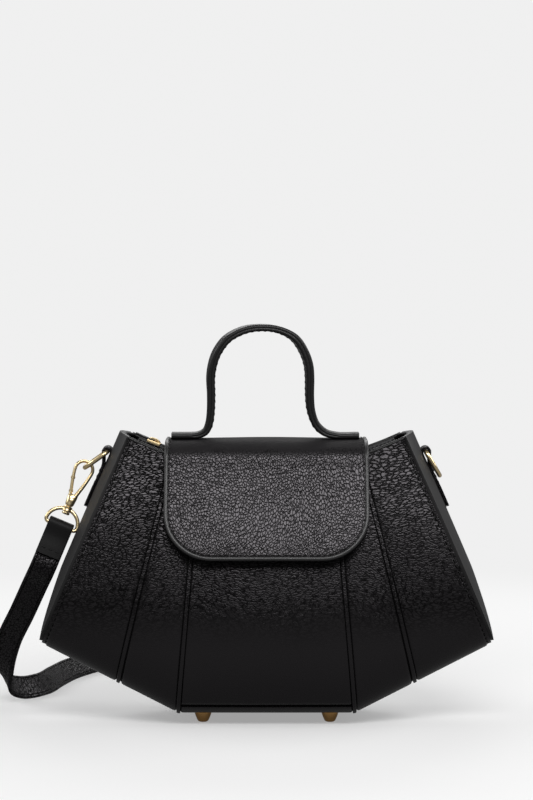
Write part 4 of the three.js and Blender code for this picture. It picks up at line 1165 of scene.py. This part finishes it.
class BAG_OT_zip(bpy.types.Operator):
    """Zip tapes with teeth, the slider and its leather puller"""

    bl_idname = "bag.zip"
    bl_label = "Zip"

    def execute(self, context):
        for word, end in SIDES:
            first, last = sorted((end * TAPE_GAP, end * TAPE_HALF))
            for face, side in FACES:
                node = f"zip_tape_{face}_{word}"
                zip_part(node, node, first, last, sorted((side * TAPE_INNER, side * TAPE_EDGE)), [side])
        for word, end in SIDES:
            first, last = sorted((end * (TAPE_HALF + END_GAP), end * TAPE_END_HALF))
            zip_part(f"zip_end_{word}", "bag", first, last, (-TAPE_EDGE, TAPE_EDGE), (-1, 1))
        self.slider()
        return {"FINISHED"}

    def slider(self):
        angle = math.asin(SLIDER_X / TAPE_RADIUS)
        along, up = arc_axes(angle)
        base = on_arc(TAPE_RADIUS - SLIDER_SINK, angle, 0.0)
        plate = []
        for s, half in SLIDER_PLATE:
            centre = base + along * s + up * SLIDER_LIFT
            plate.append(ring_of(centre, ACROSS, up, round_section(half, SLIDER_HALF, 0.6)))
        body = skin("slider_plate", plate)
        loop = [base + along * s + up * h for s, h in SLIDER_BRIDGE]
        piece = join("zip_slider_cast", [body, wire("slider_bridge", loop, ACROSS, *BRIDGE_WIRE, 20)])
        smooth(piece)
        settle(piece, "zip_slider", "satin", "gold_metal", "zip_slider")
        tag = []
        for x, half in PULLER_TAG:
            turn = math.asin(x / TAPE_RADIUS)
            centre = on_arc(TAPE_RADIUS - PULLER_SINK, turn, 0.0)
            tag.append(ring_of(centre, ACROSS, arc_axes(turn)[1], round_section(half, PULLER_HALF, 0.45)))
        settle(skin("zip_puller_tag", tag), "zip_puller", "edge", "grained_leather", "zip_puller")


def flap_reach(z):
    deepest = max(wall_depth(FLAP_HALF * share, z) for share in (0, 0.25, 0.5, 0.75, 1))
    return FLAP_THICKNESS + max(deepest + FLAP_STANDOFF, wall_depth(0.0, z) + MAGNET_ROOM)


def flap_route():
    """Section of the flap from the hinge at the back, over the crest and down the front."""
    reach = MOUTH_DEPTH / 2 + FLAP_STANDOFF + FLAP_THICKNESS
    shoulder = mouth_height(FLAP_HALF) - 1
    heights = stops_between(MOUTH_CENTRE_HEIGHT, FLAP_FRONT_HEIGHT, 4)
    stops = [
        (0, flap_reach(HINGE_HEIGHT), HINGE_HEIGHT + 0.3),
        (0, reach + 2.2, (HINGE_HEIGHT + shoulder) / 2),
        (0, reach - 1, shoulder + 1),
        (0, 17, CREST - 0.6),
        (0, 9, CREST),
        (0, -9, CREST),
        (0, -17, CREST - 0.9),
        (0, 0.6 - reach, shoulder + 0.6),
    ]
    return Route(stops + [(0, -flap_reach(z), z) for z in heights])


class Flap:
    """The flap as a sheet: distance along its section and share of its half width."""

    def __init__(self):
        self.route = flap_route()
        self.length = self.route.length

    def half_width(self, distance):
        past = max(0.0, distance - (self.length - FLAP_CORNER))
        return FLAP_HALF - FLAP_CORNER + math.sqrt(max(0.0, FLAP_CORNER**2 - past**2))

    def edge_distance(self, x, distance):
        past = distance - (self.length - FLAP_CORNER)
        if past <= 0:
            return FLAP_HALF - abs(x)
        beside = abs(x) - (FLAP_HALF - FLAP_CORNER)
        if beside <= 0:
            return FLAP_CORNER - past
        return FLAP_CORNER - math.hypot(beside, past)

    def normal(self, distance):
        heading = self.route.heading(distance)
        return np.array((0.0, heading[2], -heading[1]))

    def point(self, x, distance, lift=0.0):
        centre = self.route.at(distance)
        return np.array((x, centre[1], centre[2])) + self.normal(distance) * lift

    def rows(self):
        """Stops along the flap, close together near the front edge."""
        straight = self.length - FLAP_CORNER
        turns = [FLAP_CORNER * math.sin(math.radians(a)) for a in range(5, 56, 5)]
        ends = [FLAP_CORNER - d for d in (4.6, 3.6, 2.9, 2.2, 1.5, 0.9, 0.45, 0.15, 0.0)]
        return stops_between(0.0, straight, 52) + [straight + past for past in turns + ends]


FLAP = Flap()
EDGE_OFFSETS = (0.0, 0.25, 0.6, 1.1, 1.7, 2.3, 2.9, 3.6, 4.6, 7.0, 11.0)


def flap_columns():
    near = [1 - offset / FLAP_HALF for offset in EDGE_OFFSETS]
    middle = stops_between(near[-1], -near[-1], 22)[1:-1]
    return [-share for share in near] + middle[::-1] + near[::-1]


def flap_spring(distance):
    """How far the free end of the flap stands off the body."""
    share = max(0.0, 1 + (distance - FLAP.length) / FLAP_SPRING_LENGTH)
    return FLAP_SPRING * (1 - math.cos(math.pi * share)) / 2


class BAG_OT_flap(bpy.types.Operator):
    """Flap with its rolled edge, stitching, lining and magnets, and the anchor behind"""

    bl_idname = "bag.flap"
    bl_label = "Flap"

    def execute(self, context):
        sizes = context.scene.bag_sizes
        ends = (HINGE_HEIGHT - ANCHOR_HEIGHT, HINGE_HEIGHT - ANCHOR_TOP_GAP)
        anchor = [(z, None) for z in stops_between(*ends, 12)]
        rows = anchor + [(None, d) for d in FLAP.rows()[1:]]

        def place(row, share):
            z, distance = row
            if distance is None:
                x = FLAP_HALF * share
                lift = ANCHOR_LIFT + np.interp(FLAP_HALF - abs(x), *ANCHOR_EDGE)
                return np.array((x, wall_depth(abs(x), z) + lift, z))
            x = FLAP.half_width(distance) * share
            lift = np.interp(FLAP.edge_distance(x, distance), *RIM_DIP)
            lift += FLAP_RIPPLE * math.sin(0.07 * x + 0.05 * distance) * math.sin(0.045 * distance)
            lift += flap_spring(distance)
            return FLAP.point(x, distance, lift)

        piece = slab("flap_skin", rows, flap_columns(), place, FLAP_LEATHER, FLAP_LEATHER_EDGE)
        settle(piece, None, "flap", "grained_leather", "flap", "flap_anchor")
        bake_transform(piece)
        self.lining()
        self.rim()
        self.stitches(sizes)
        self.magnets()
        return {"FINISHED"}

    def lining(self):
        def place(distance, share):
            x = (FLAP.half_width(distance) - FLAP_LINING_INSET) * share
            lift = flap_spring(distance) - FLAP_LINING_SINK
            return FLAP.point(x, min(distance, FLAP.length - FLAP_LINING_INSET), lift)

        columns = stops_between(-1, 1, 20)
        piece = slab("flap_lining_sheet", FLAP.rows()[1:], columns, place, FLAP_LINING_CLOTH)
        settle(piece, "flap", "cloth", "black_cloth", "flap_lining")

    def border(self, inset):
        """Places along the free edge, from the hinge down one side, along the front and back."""
        straight = FLAP.length - FLAP_CORNER
        radius = FLAP_CORNER - inset
        corner = FLAP_HALF - FLAP_CORNER
        line = [(FLAP_HALF - inset, d) for d in stops_between(BORDER_START, straight, 40)]
        line += arc(range(5, 91, 5), radius, corner, straight)
        line += [(corner * share, straight + radius) for share in (0.75, 0.5, 0.25)]
        return line + [(0.0, straight + radius)] + mirrored(line)

    def rim(self):
        """Rolled edge that wraps the leather and the lining."""
        line = self.border(RIM_INSET)
        path = Route([FLAP.point(x, d, flap_spring(d) - RIM_SINK) for x, d in line], detail=3)
        outline = round_section(*RIM_SECTION)
        rings = []
        for i, (_, d) in enumerate(line):
            along = path.heading(path.reach[3 * i])
            face = FLAP.normal(d)
            rings.append(ring_of(path.at(path.reach[3 * i]), np.cross(along, face), face, outline))
        settle(skin("flap_rim", rings), "flap", "rim", "grained_leather")

    def stitches(self, sizes):
        line = self.border(FLAP_STITCH_INSET)
        path = Route([FLAP.point(x, d, flap_spring(d) + FLAP_STITCH_LIFT) for x, d in line], detail=3)
        normals = np.array([FLAP.normal(d) for _, d in line])
        reach = path.reach[::3]
        stitch_row("flap_stitches", "flap", path, lambda d: vector_at(d, reach, normals), sizes)

    def magnets(self):
        for name, body in (("front_magnet", "bag"), ("flap_magnet", "flap")):
            low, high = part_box(name)
            centre = np.array((low + high) / 2) / MM
            slope = wall_depth(0.0, centre[2] - MAGNET_RADIUS) - wall_depth(0.0, centre[2] + MAGNET_RADIUS)
            axis = unit((0.0, -2 * MAGNET_RADIUS, slope))
            if body == "flap":
                centre = centre + axis * flap_spring(FLAP.length - (centre[2] - FLAP_FRONT_HEIGHT))
            piece = turned(f"{name}_disc", centre, axis, MAGNET_PROFILE, 36)
            settle(piece, body, "steel", "plated_steel", name)


def handle_skew(z):
    """How far the handle turns to the camera at a height."""
    return HANDLE_SKEW * max(0.0, z - HANDLE_BASE) / HANDLE_RISE


def handle_gain(heading):
    """How much thicker the upright legs are."""
    return 1 + HANDLE_LEG_GAIN * abs(heading[2])


class BAG_OT_handle(bpy.types.Operator):
    """Top handle of two leathers, stitched along both edges"""

    bl_idname = "bag.handle"
    bl_label = "Handle"

    def execute(self, context):
        sizes = context.scene.bag_sizes
        half = sizes.handle_width / MM / 2
        thick = sizes.handle_thickness / MM / 2
        route = Route([(x, 0.0, HANDLE_BASE + HANDLE_RISE * share) for x, share in HANDLE_STOPS])
        quarter = [(half - 0.3, 0.0), (half + 0.05, 0.5), (half - 0.1, thick - 0.7),
                   (half - 0.7, thick - 0.05), (half - 1.6, thick + 0.05), (half - 2.3, thick - 0.2),
                   (half - 3.2, thick), (0.0, thick + 0.1)]
        upper = quarter + mirrored(quarter[:-1])
        outline = upper + [(-a, -b) for a, b in upper[1:-1]]
        rings = []
        for distance in stops_between(0.0, route.length, HANDLE_STEPS):
            from_end = min(distance, route.length - distance)
            thin = np.interp(from_end, *HANDLE_THINNING)
            centre = route.at(distance) - UP * (1 - thin) * thick * HANDLE_SINK
            side = unit((-handle_skew(centre[2]), 1.0, 0.0))
            heading = route.heading(distance)
            face = unit(np.cross(heading, side))
            stout = thin * handle_gain(heading)
            rings.append(ring_of(centre, side, face, [(a, b * stout) for a, b in outline]))
        settle(skin("handle_strap", rings, angle=50), "flap", "edge", "grained_leather", "handle")
        for word, side in FACES:
            for level, sign, sink in (("outer", 1, 0.65), ("inner", -1, 0.15)):
                y = side * (half - HANDLE_STITCH_INSET)
                self.row(f"handle_stitches_{word}_{level}", route, y, sign, thick - sink, sizes)
        return {"FINISHED"}

    def row(self, name, route, y, sign, level, sizes):
        start = HANDLE_SEWN_FROM

        def face_at(distance):
            return sign * np.cross(route.heading(distance), ACROSS)

        points = []
        for distance in stops_between(start, route.length - start, 80):
            centre = route.at(distance)
            shift = np.array((-handle_skew(centre[2]) * y, y, 0.0))
            points.append(centre + shift + face_at(distance) * level * handle_gain(route.heading(distance)))
        path = Route(points, detail=3)
        scale = (route.length - 2 * start) / path.length
        stitch_row(name, "flap", path, lambda d: face_at(start + d * scale), sizes)


FOLD_STEPS = 90


def folded_strap(name, place, side, stops, half, thick):
    """A strip of leather folded over a bar; place turns flat pairs into points."""
    route = Route([place(s, n) for s, n in stops], detail=12)
    outline = round_section(half, thick, min(thick * 0.7, 0.8))
    rings = []
    for distance in stops_between(0.0, route.length, FOLD_STEPS):
        face = np.cross(route.heading(distance), side)
        rings.append(ring_of(route.at(distance), side, face, outline))
    return skin(name, rings)


TAB_SLOPE = unit(gusset_point(1, TAB_TOP_AT - TAB_SPAN, 0) - gusset_point(1, TAB_TOP_AT, 0))
TAB_DOWN = (TAB_SLOPE[0], -TAB_SLOPE[2])


def loop_stops(radius, rear, front, rear_end, front_end, neck):
    """Fold over a bar at the origin: up the rear, round the bar and down the front."""
    stops = [(rear_end, rear), (rear_end * 0.6 + neck * 0.4, rear), (neck, rear)]
    stops += arc(range(95, 270, 17), radius, height=radius if rear > 0 else -radius)
    return stops + [(neck, front), (front_end * 0.6 + neck * 0.4, front), (front_end, front)]


class BAG_OT_tabs(bpy.types.Operator):
    """Folded tabs on the gussets with their D-rings"""

    bl_idname = "bag.tabs"
    bl_label = "Tabs and D-rings"

    def execute(self, context):
        sizes = context.scene.bag_sizes
        for word, side in SIDES:
            bar = np.array(JOINTS[f"d_ring_{word}_swing"]["pos_m"]) / MM
            down = unit((side * TAB_DOWN[0], 0.0, -TAB_DOWN[1]))
            out = np.array((side * TAB_DOWN[1], 0.0, TAB_DOWN[0]))
            rear = TAB_LEATHER / 2 - TAB_LOOP
            radius = TAB_LOOP - TAB_LEATHER / 2
            stops = loop_stops(radius, rear, rear + TAB_LEATHER, TAB_LENGTH, TAB_LENGTH, TAB_NECK)
            piece = folded_strap(f"tab_{word}_fold", lambda s, n: bar + down * s + out * n, ACROSS, stops,
                                 TAB_HALF, TAB_LEATHER / 2 - 0.05)
            settle(piece, "bag", "strap", "grained_leather", f"tab_{word}")
            level = rear + TAB_LEATHER * 1.5 - 0.5
            line = [(s, -TAB_ROW_HALF) for s in stops_between(TAB_ROW_START, TAB_ROW_END, 6)]
            line += [(TAB_ROW_END, y) for y in stops_between(-4, 4, 3)]
            line += [(s, TAB_ROW_HALF) for s in stops_between(TAB_ROW_END, TAB_ROW_START, 6)]
            path = Route([bar + down * s + ACROSS * y + out * level for s, y in line], detail=4)
            stitch_row(f"tab_{word}_stitches", "bag", path, lambda d: out, sizes)
            self.ring(word, side, bar, down, sizes)
        return {"FINISHED"}

    def ring(self, word, side, bar, down, sizes):
        if side < 0:
            direction = unit(np.array(JOINTS["strap_end_swing"]["pos_m"]) / MM - bar)
        else:
            turn = math.radians(RING_RIGHT_ANGLE)
            out = np.array((TAB_DOWN[1], 0.0, TAB_DOWN[0]))
            direction = unit(down * math.cos(turn) + out * math.sin(turn))
        half = RING_HALF
        start = RING_LENGTH - half
        outline = [(0, -half + RING_CORNER), (0, -half / 3), (0, half / 3), (0, half - RING_CORNER),
                   (RING_CORNER * 0.3, half - RING_CORNER * 0.3), (RING_CORNER, half)]
        outline += arc(range(90, -91, -15), half, start)
        outline += [(RING_CORNER, -half), (RING_CORNER * 0.3, RING_CORNER * 0.3 - half)]
        points = [bar + direction * s + ACROSS * y for s, y in outline]
        radius = sizes.ring_wire / MM
        piece = wire(f"d_ring_{word}_wire", points, np.cross(direction, ACROSS), radius, radius, 72, True)
        settle(piece, f"d_ring_{word}", "gold", "gold_metal", f"d_ring_{word}")


class Fitting:
    """Frame of one strap end: q across, s along from the ring it holds, f towards its face."""

    def __init__(self, ending, up):
        joint = JOINTS[f"hook_{ending}_swivel"]
        self.ending = ending
        self.along = unit(joint["axis"])
        self.across = unit(np.cross(self.along, up))
        self.face = np.cross(self.across, self.along)
        self.origin = np.array(joint["pos_m"]) / MM - self.along * COLLAR_MID

    def at(self, q, s, f=0.0):
        return self.origin + self.across * q + self.along * s + self.face * f

    def line(self, pairs):
        return [self.at(q, s) for q, s in pairs]


NEAR = Fitting("near", ACROSS)
FAR = Fitting("far", UP)
HOOK_LIMB = [(4.6, 7.0), (3.6, 11.5), (2.5, 15.5), (1.7, 18.6), (1.2, 20.6)]
HOOK_WIRE = (1.05, 1.5)
HOOK_TAPER = ((0.0, 0.5, 1.0), (1.0, 1.0, 1.25))
HOOK_BASE = (
    (18.2, 2.2, 1.3), (18.6, 3.1, 1.7), (20.6, 3.1, 2.0), (23.0, 2.9, 2.1),
    (24.8, 2.7, 2.1), (25.7, 2.2, 2.0), (26.0, 1.7, 1.7),
)
BOSS_PLACE = (0.2, 22.2, -2.6)
HOOK_BOSS = (
    (0.01, 0.0), (1.2, 0.1), (1.7, 0.45), (1.8, 0.9), (1.8, 4.3), (1.7, 4.75), (1.2, 5.1), (0.01, 5.2),
)
POST_START = 25.5
HOOK_POST = ((0.01, 0.0), (1.4, 0.0), (1.4, 4.5), (2.45, 4.6), (2.45, 5.5), (1.9, 5.95), (0.01, 6.0))
GATE_WIRE = (1.0, 1.4)
GATE_LEVER = ((-5.35, 3.2), (-4.9, 6.0), (-4.2, 9.5), (-3.2, 13.5), (-2.3, 17.0), (-1.9, 20.2))
GATE_COLLARS = ((8.4, 1.4), (16.65, 1.35))
COLLAR_HALF = 1.7
EYE_COLLAR = (
    (1.55, 0.0), (2.5, 0.0), (2.9, 0.4), (2.9, 1.3), (2.65, 1.7),
    (2.9, 2.1), (2.9, 3.0), (2.5, 3.4), (1.55, 3.4),
)


class BAG_OT_hooks(bpy.types.Operator):
    """Swivel hooks with sprung gates, and the rings that hold the strap"""

    bl_idname = "bag.hooks"
    bl_label = "Strap Hooks"

    def execute(self, context):
        sizes = context.scene.bag_sizes
        for fitting, eye_body in ((NEAR, "near_eye"), (FAR, "far_eye")):
            self.hook(fitting)
            self.gate(fitting)
            self.eye(fitting, eye_body, sizes)
        return {"FINISHED"}

    def hook(self, fitting):
        limb = fitting.line(arc(range(166, 376, 15), HOOK_RADIUS, y=HOOK_CENTRE) + HOOK_LIMB)
        loop = wire("hook_loop", limb, fitting.face, *HOOK_WIRE, 64, False, HOOK_TAPER)
        sides = (fitting.across, fitting.face)
        base = skin("hook_base", [ring_of(fitting.at(0, s), *sides, oval(q, f, 20)) for s, q, f in HOOK_BASE],
                    angle=50)
        boss = turned("hook_boss", fitting.at(*BOSS_PLACE), fitting.face, HOOK_BOSS, 20)
        post = turned("hook_post", fitting.at(0, POST_START), fitting.along, HOOK_POST, 24)
        name = f"hook_{fitting.ending}"
        settle(join(f"{name}_cast", [loop, base, boss, post]), name, "gold", "gold_metal", name)

    def gate(self, fitting):
        parts = [wire("gate_bar", fitting.line(GATE_LEVER), fitting.face, *GATE_WIRE, 36)]
        axis = fitting.at(*GATE_LEVER[4]) - fitting.at(*GATE_LEVER[1])
        for s, radius in GATE_COLLARS:
            q = np.interp(s, [b for _, b in GATE_LEVER], [a for a, _ in GATE_LEVER])
            profile = [(0.01, -1.0), (radius * 0.75, -0.95), (radius, -0.5)]
            profile += [(r, -height) for r, height in profile[::-1]]
            parts.append(turned("gate_collar", fitting.at(q, s), axis, profile, 20))
        name = f"gate_{fitting.ending}"
        settle(join(f"{name}_lever", parts), name, "gold", "gold_metal", name)

    def eye(self, fitting, body, sizes):
        corner = EYE_BAR - EYE_CORNER
        inside = EYE_HALF_WIDTH - EYE_CORNER
        outline = arc(range(180, 361, 15), EYE_HALF_WIDTH, y=corner, height=corner - COLLAR_MID)
        turn = arc((30, 60, 90), EYE_CORNER, inside, corner) + [(inside / 2, EYE_BAR)]
        outline += turn + [(0, EYE_BAR)] + mirrored(turn)
        radius = sizes.eye_wire / MM
        loop = wire("eye_loop", fitting.line(outline), fitting.face, radius, radius, 80, True)
        collar = turned("eye_collar", fitting.at(0, COLLAR_MID - COLLAR_HALF), fitting.along, EYE_COLLAR, 24)
        name = f"swivel_ring_{fitting.ending}"
        settle(join(f"{name}_cast", [loop, collar]), body, "gold", "gold_metal", name)


def flat_direction(angle):
    """A level direction at an angle in degrees."""
    return np.array((math.cos(math.radians(angle)), math.sin(math.radians(angle)), 0.0))


def spiral_point(start, turn):
    radius = COIL_RADIUS + COIL_PITCH * turn / 360
    return np.array((*COIL_CENTRE, COIL_HEIGHT)) + radius * flat_direction(start + turn)


def coil_points():
    """Middle line of the stored strap: an arm in, a turn through the middle, an arm out."""
    points = [spiral_point(COIL_START, turn) for turn in range(COIL_TURN_IN, 0, -COIL_STEP)]
    half = COIL_RADIUS / 2
    centre = np.array((*COIL_CENTRE, COIL_HEIGHT))
    lead = flat_direction(COIL_START) * half
    for sign in (1, -1):
        for step in range(0, 180, COIL_STEP):
            points.append(centre + sign * lead + half * flat_direction(COIL_START - sign * step))
    return points + [spiral_point(COIL_START + 180, turn) for turn in range(0, COIL_TURN_OUT + 1, COIL_STEP)]


HANGING_STOPS = (
    ((-143.9, -1, 82), (0.92, 0.05, -0.39)),
    ((-152.9, 11, 63), (0.9, 0.08, -0.42)),
    ((-163, 27, 42.5), (0.86, -0.02, -0.5)),
    ((-167, 38, 25.5), (0.7, -0.2, -0.68)),
    ((-165.5, 47, 13), (0.42, -0.42, -0.8)),
    ((-158, 56, 8.3), (0.28, -0.52, -0.8)),
    ((-146, 73, 7.6), (0.55, -0.35, -0.75)),
    ((-139, 106, 7.3), (0.69, -0.18, -0.7)),
    ((-130.5, 139, 7.3), (0.68, -0.22, -0.7)),
    ((-116, 168, 7.4), (0.62, -0.4, -0.68)),
    ((-96, 188, 8.3), (0.35, -0.4, -0.85)),
    ((-70, 197, 9), (0, -0.1, -1)),
    ((-40, 195, 9), (0, 0, -1)),
    ((-12, 184, 9), (0, 0, -1)),
    ((10, 168, 9), (0, 0, -1)),
)


class Strap:
    """Middle line of the shoulder strap and the direction across it."""

    def __init__(self):
        first = NEAR.at(0, STRAP_START - STRAP_LAP, STRAP_LAYER)
        stops = [(first, NEAR.across), (first + NEAR.along * STRAP_LEAD, NEAR.across)]
        stops += [(np.array(p, float), np.array(w, float)) for p, w in HANGING_STOPS]
        coil = coil_points()
        stops += [(p, -UP) for p in coil]
        heading = unit(coil[-1] - coil[-2])
        last = FAR.at(0, STRAP_START - STRAP_LAP, STRAP_LAYER)
        flat = FAR.across * math.copysign(1.0, np.dot(FAR.across, (heading[1], -heading[0], 0.0)))
        for share in (0.15, 0.3, 0.45, 0.6, 0.75, STRAP_TWIST_END, 1.0):
            ease = min(1.0, share / STRAP_TWIST_END)
            turn = math.pi / 2 * ease * ease * (3 - 2 * ease)
            across = flat * math.sin(turn) - UP * math.cos(turn)
            centre = coil[-1] + (last - coil[-1]) * share
            centre[2] = STRAP_FLOOR_GAP + (last[2] - STRAP_FLAT_HEIGHT) * share
            centre[2] += (COIL_HEIGHT - STRAP_FLOOR_GAP) * math.cos(turn)
            centre[2] += (STRAP_FLAT_HEIGHT - STRAP_FLOOR_GAP) * math.sin(turn)
            stops.append((centre, across))
        self.route = Route([p for p, _ in stops], detail=16)
        self.marks = self.route.reach[::16]
        self.acrosses = np.array([unit(w) for _, w in stops])

    def across(self, distance):
        raw = vector_at(distance, self.marks, self.acrosses)
        heading = self.route.heading(distance)
        return unit(raw - heading * np.dot(raw, heading))


class BAG_OT_strap(bpy.types.Operator):
    """Shoulder strap with its folded ends and the tie round its coil"""

    bl_idname = "bag.strap"
    bl_label = "Shoulder Strap"

    def execute(self, context):
        sizes = context.scene.bag_sizes
        half = sizes.strap_width / MM / 2
        thick = sizes.strap_thickness / MM / 2
        strap = Strap()
        length = strap.route.length
        count = int(length / STRAP_STEP)
        corners = round_section(half, thick, 0.9, 3)
        groove = [(half - 1.5, thick), (half - 1.9, thick - 0.4), (half - 2.3, thick)]
        face = groove + mirrored(groove)
        outline = corners[:4] + face + corners[4:12] + [(-a, -b) for a, b in face] + corners[12:]
        rings = []
        for i in range(count + 1):
            distance = length * i / count
            side = strap.across(distance)
            centre = strap.route.at(distance)
            rings.append(ring_of(centre, side, np.cross(strap.route.heading(distance), side), outline))
            if i % 4 == 0 or i == count:
                tuple(centre * MM)
        piece = skin("strap_length", rings)
        settle(piece, None, "strap", "grained_leather", "strap_stretch", "strap_coil", "strap_tail")
        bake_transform(piece)
        holders = ((NEAR, "near_eye"), (FAR, "bag"))
        ends = [self.end(fitting, body, half, thick, sizes) for fitting, body in holders]
        self.tie()
        return {"FINISHED"}

    def end(self, fitting, body, half, thick, sizes):
        def place(s, n):
            return fitting.at(0, EYE_BAR + s, n)

        front = STRAP_START - EYE_BAR
        rear = front - END_REAR_SHORT
        stops = loop_stops(END_LOOP + thick, STRAP_LAYER, -STRAP_LAYER, rear, front, END_NECK)
        name = f"strap_end_{fitting.ending}"
        piece = folded_strap(f"{name}_fold", place, fitting.across, stops, half, thick - 0.03)
        settle(piece, body, "fold", "grained_leather", name)
        reach = half - STRAP_ROW_INSET
        for word, sign in FACES:
            level = sign * (STRAP_LAYER + thick)
            line = [fitting.at(q, STRAP_START - END_ROW, level) for q in stops_between(-reach, reach, 6)]
            stitch_row(f"strap_end_stitches_{fitting.ending}_{word}", body, Route(line, detail=4),
                       lambda d, sign=sign: fitting.face * sign, sizes)
        return piece

    def tie(self):
        """A band round the turns on one side of the coil."""
        out = flat_direction(TIE_ANGLE)
        first = COIL_RADIUS - TIE_ROOM
        last = COIL_RADIUS + COIL_PITCH * TIE_TURNS + TIE_ROOM
        middle = (first + last) / 2
        reach = (last - first) / 2
        inner = [(-reach, 4), (-reach, 14), (0.8 - reach, TIE_TOP - 0.8), (2.5 - reach, TIE_TOP)]
        under = [(reach - 0.8, TIE_BOTTOM + 0.8), (reach - 2.5, TIE_BOTTOM)]
        corners = inner + mirrored(inner) + under + mirrored(under)
        centre = np.array((*COIL_CENTRE, 0.0))
        points = [centre + out * (middle + r) + UP * z for r, z in corners]
        piece = wire("strap_tie_band", points, np.cross(UP, out), *TIE_BAND, 60, True)
        settle(piece, "bag", "cloth", "black_cloth", "strap_tie")


class BAG_OT_stage(bpy.types.Operator):
    """Pale floor and backdrop, soft lamps and the camera"""

    bl_idname = "bag.stage"
    bl_label = "Stage"

    def execute(self, context):
        colours = context.scene.bag_colours
        self.floor(colours)
        self.world(context.scene, colours)
        for row in LAMPS:
            self.lamp(*row)
        self.camera(context.scene)
        context.scene.view_settings.view_transform = "Standard"
        return {"FINISHED"}

    def floor(self, colours):
        clear_selection()
        bpy.ops.mesh.primitive_plane_add(size=FLOOR_SIZE)
        floor = bpy.context.object
        floor.name = "floor"
        finish = Finish("pale_floor")
        camera, mirror, through = finish.light_path()
        reach = finish.value("ShaderNodeVectorMath", {"operation": "LENGTH"}, {0: finish.place()}, "Value")
        tone = finish.mix(camera, shade(colours.floor, FLOOR_UNSEEN), colours.floor)
        paper = finish.value("ShaderNodeBsdfDiffuse", None, {"Color": tone})
        far = finish.ramp(reach, *FLOOR_FADE)
        glow = finish.mix(far, shade(colours.floor, FLOOR_GLOW), colours.floor)
        light = finish.value("ShaderNodeEmission", None, {"Color": glow, "Strength": 1.0})
        lit = camera * (FLOOR_NEAR_LIGHT + (1 - FLOOR_NEAR_LIGHT) * far)
        share = lit.most(mirror * (MIRRORED_SHARE / 2)).most(through)
        floor.data.materials.append(finish.surface(finish.blend(share, paper, light)))

    def world(self, scene, colours):
        studio = Finish("studio", "worlds")
        camera, mirror, through = studio.light_path()
        seen = camera + MIRRORED_SHARE * mirror + through
        dim = studio.value("ShaderNodeBackground", None, {"Color": (1, 1, 1, 1), "Strength": WORLD_DIM})
        white = studio.value("ShaderNodeBackground", None, {"Color": (*colours.floor, 1), "Strength": 1})
        scene.world = studio.surface(studio.blend(seen, dim, white), "World")

    def lamp(self, name, place, target, width, height, power):
        clear_selection()
        bpy.ops.object.light_add(type="AREA", location=place)
        lamp = bpy.context.object
        lamp.name = name
        lamp.data.shape = "RECTANGLE"
        lamp.data.size = width
        lamp.data.size_y = height
        lamp.data.energy = power
        aim = np.array(target) - np.array(place)
        turn = math.atan2(aim[0], -aim[1])
        lamp.rotation_euler = (math.atan2(math.hypot(aim[0], aim[1]), -aim[2]), 0.0, turn + math.pi)

    def camera(self, scene):
        clear_selection()
        bpy.ops.object.camera_add(location=CAMERA_PLACE, rotation=(math.pi / 2, 0.0, 0.0))
        camera = bpy.context.object
        camera.name = "photo_camera"
        camera.data.lens = CAMERA_LENS
        camera.data.sensor_width = CAMERA_SENSOR
        camera.data.shift_y = CAMERA_SHIFT
        scene.camera = camera


OPERATORS = (
    BAG_OT_panels,
    BAG_OT_seams,
    BAG_OT_gussets,
    BAG_OT_lining,
    BAG_OT_base,
    BAG_OT_zip,
    BAG_OT_flap,
    BAG_OT_handle,
    BAG_OT_tabs,
    BAG_OT_hooks,
    BAG_OT_strap,
    BAG_OT_stage,
)


class BAG_PT_pieces(bpy.types.Panel):
    """Lists the pieces of the bag in the order they are built"""

    bl_idname = "BAG_PT_pieces"
    bl_label = "Crossbody Bag"
    bl_space_type = "VIEW_3D"
    bl_region_type = "UI"
    bl_category = "Bag"

    def draw(self, context):
        for group in (context.scene.bag_sizes, context.scene.bag_colours):
            for name in group.__annotations__:
                self.layout.prop(group, name)
        for operator in OPERATORS:
            self.layout.operator(operator.bl_idname)


CLASSES = (BagSizes, BagColours, *OPERATORS, BAG_PT_pieces)


def register():
    for cls in CLASSES:
        bpy.utils.register_class(cls)
    bpy.types.Scene.bag_sizes = bpy.props.PointerProperty(type=BagSizes)
    bpy.types.Scene.bag_colours = bpy.props.PointerProperty(type=BagColours)


def unregister():
    del bpy.types.Scene.bag_colours
    del bpy.types.Scene.bag_sizes
    for cls in reversed(CLASSES):
        bpy.utils.unregister_class(cls)


def main():
    register()
    scene = bpy.context.scene
    make_finishes(scene.bag_sizes, scene.bag_colours)
    for operator in OPERATORS:
        group, name = operator.bl_idname.split(".")
        getattr(getattr(bpy.ops, group), name)()


if __name__ == "__main__":
    main()
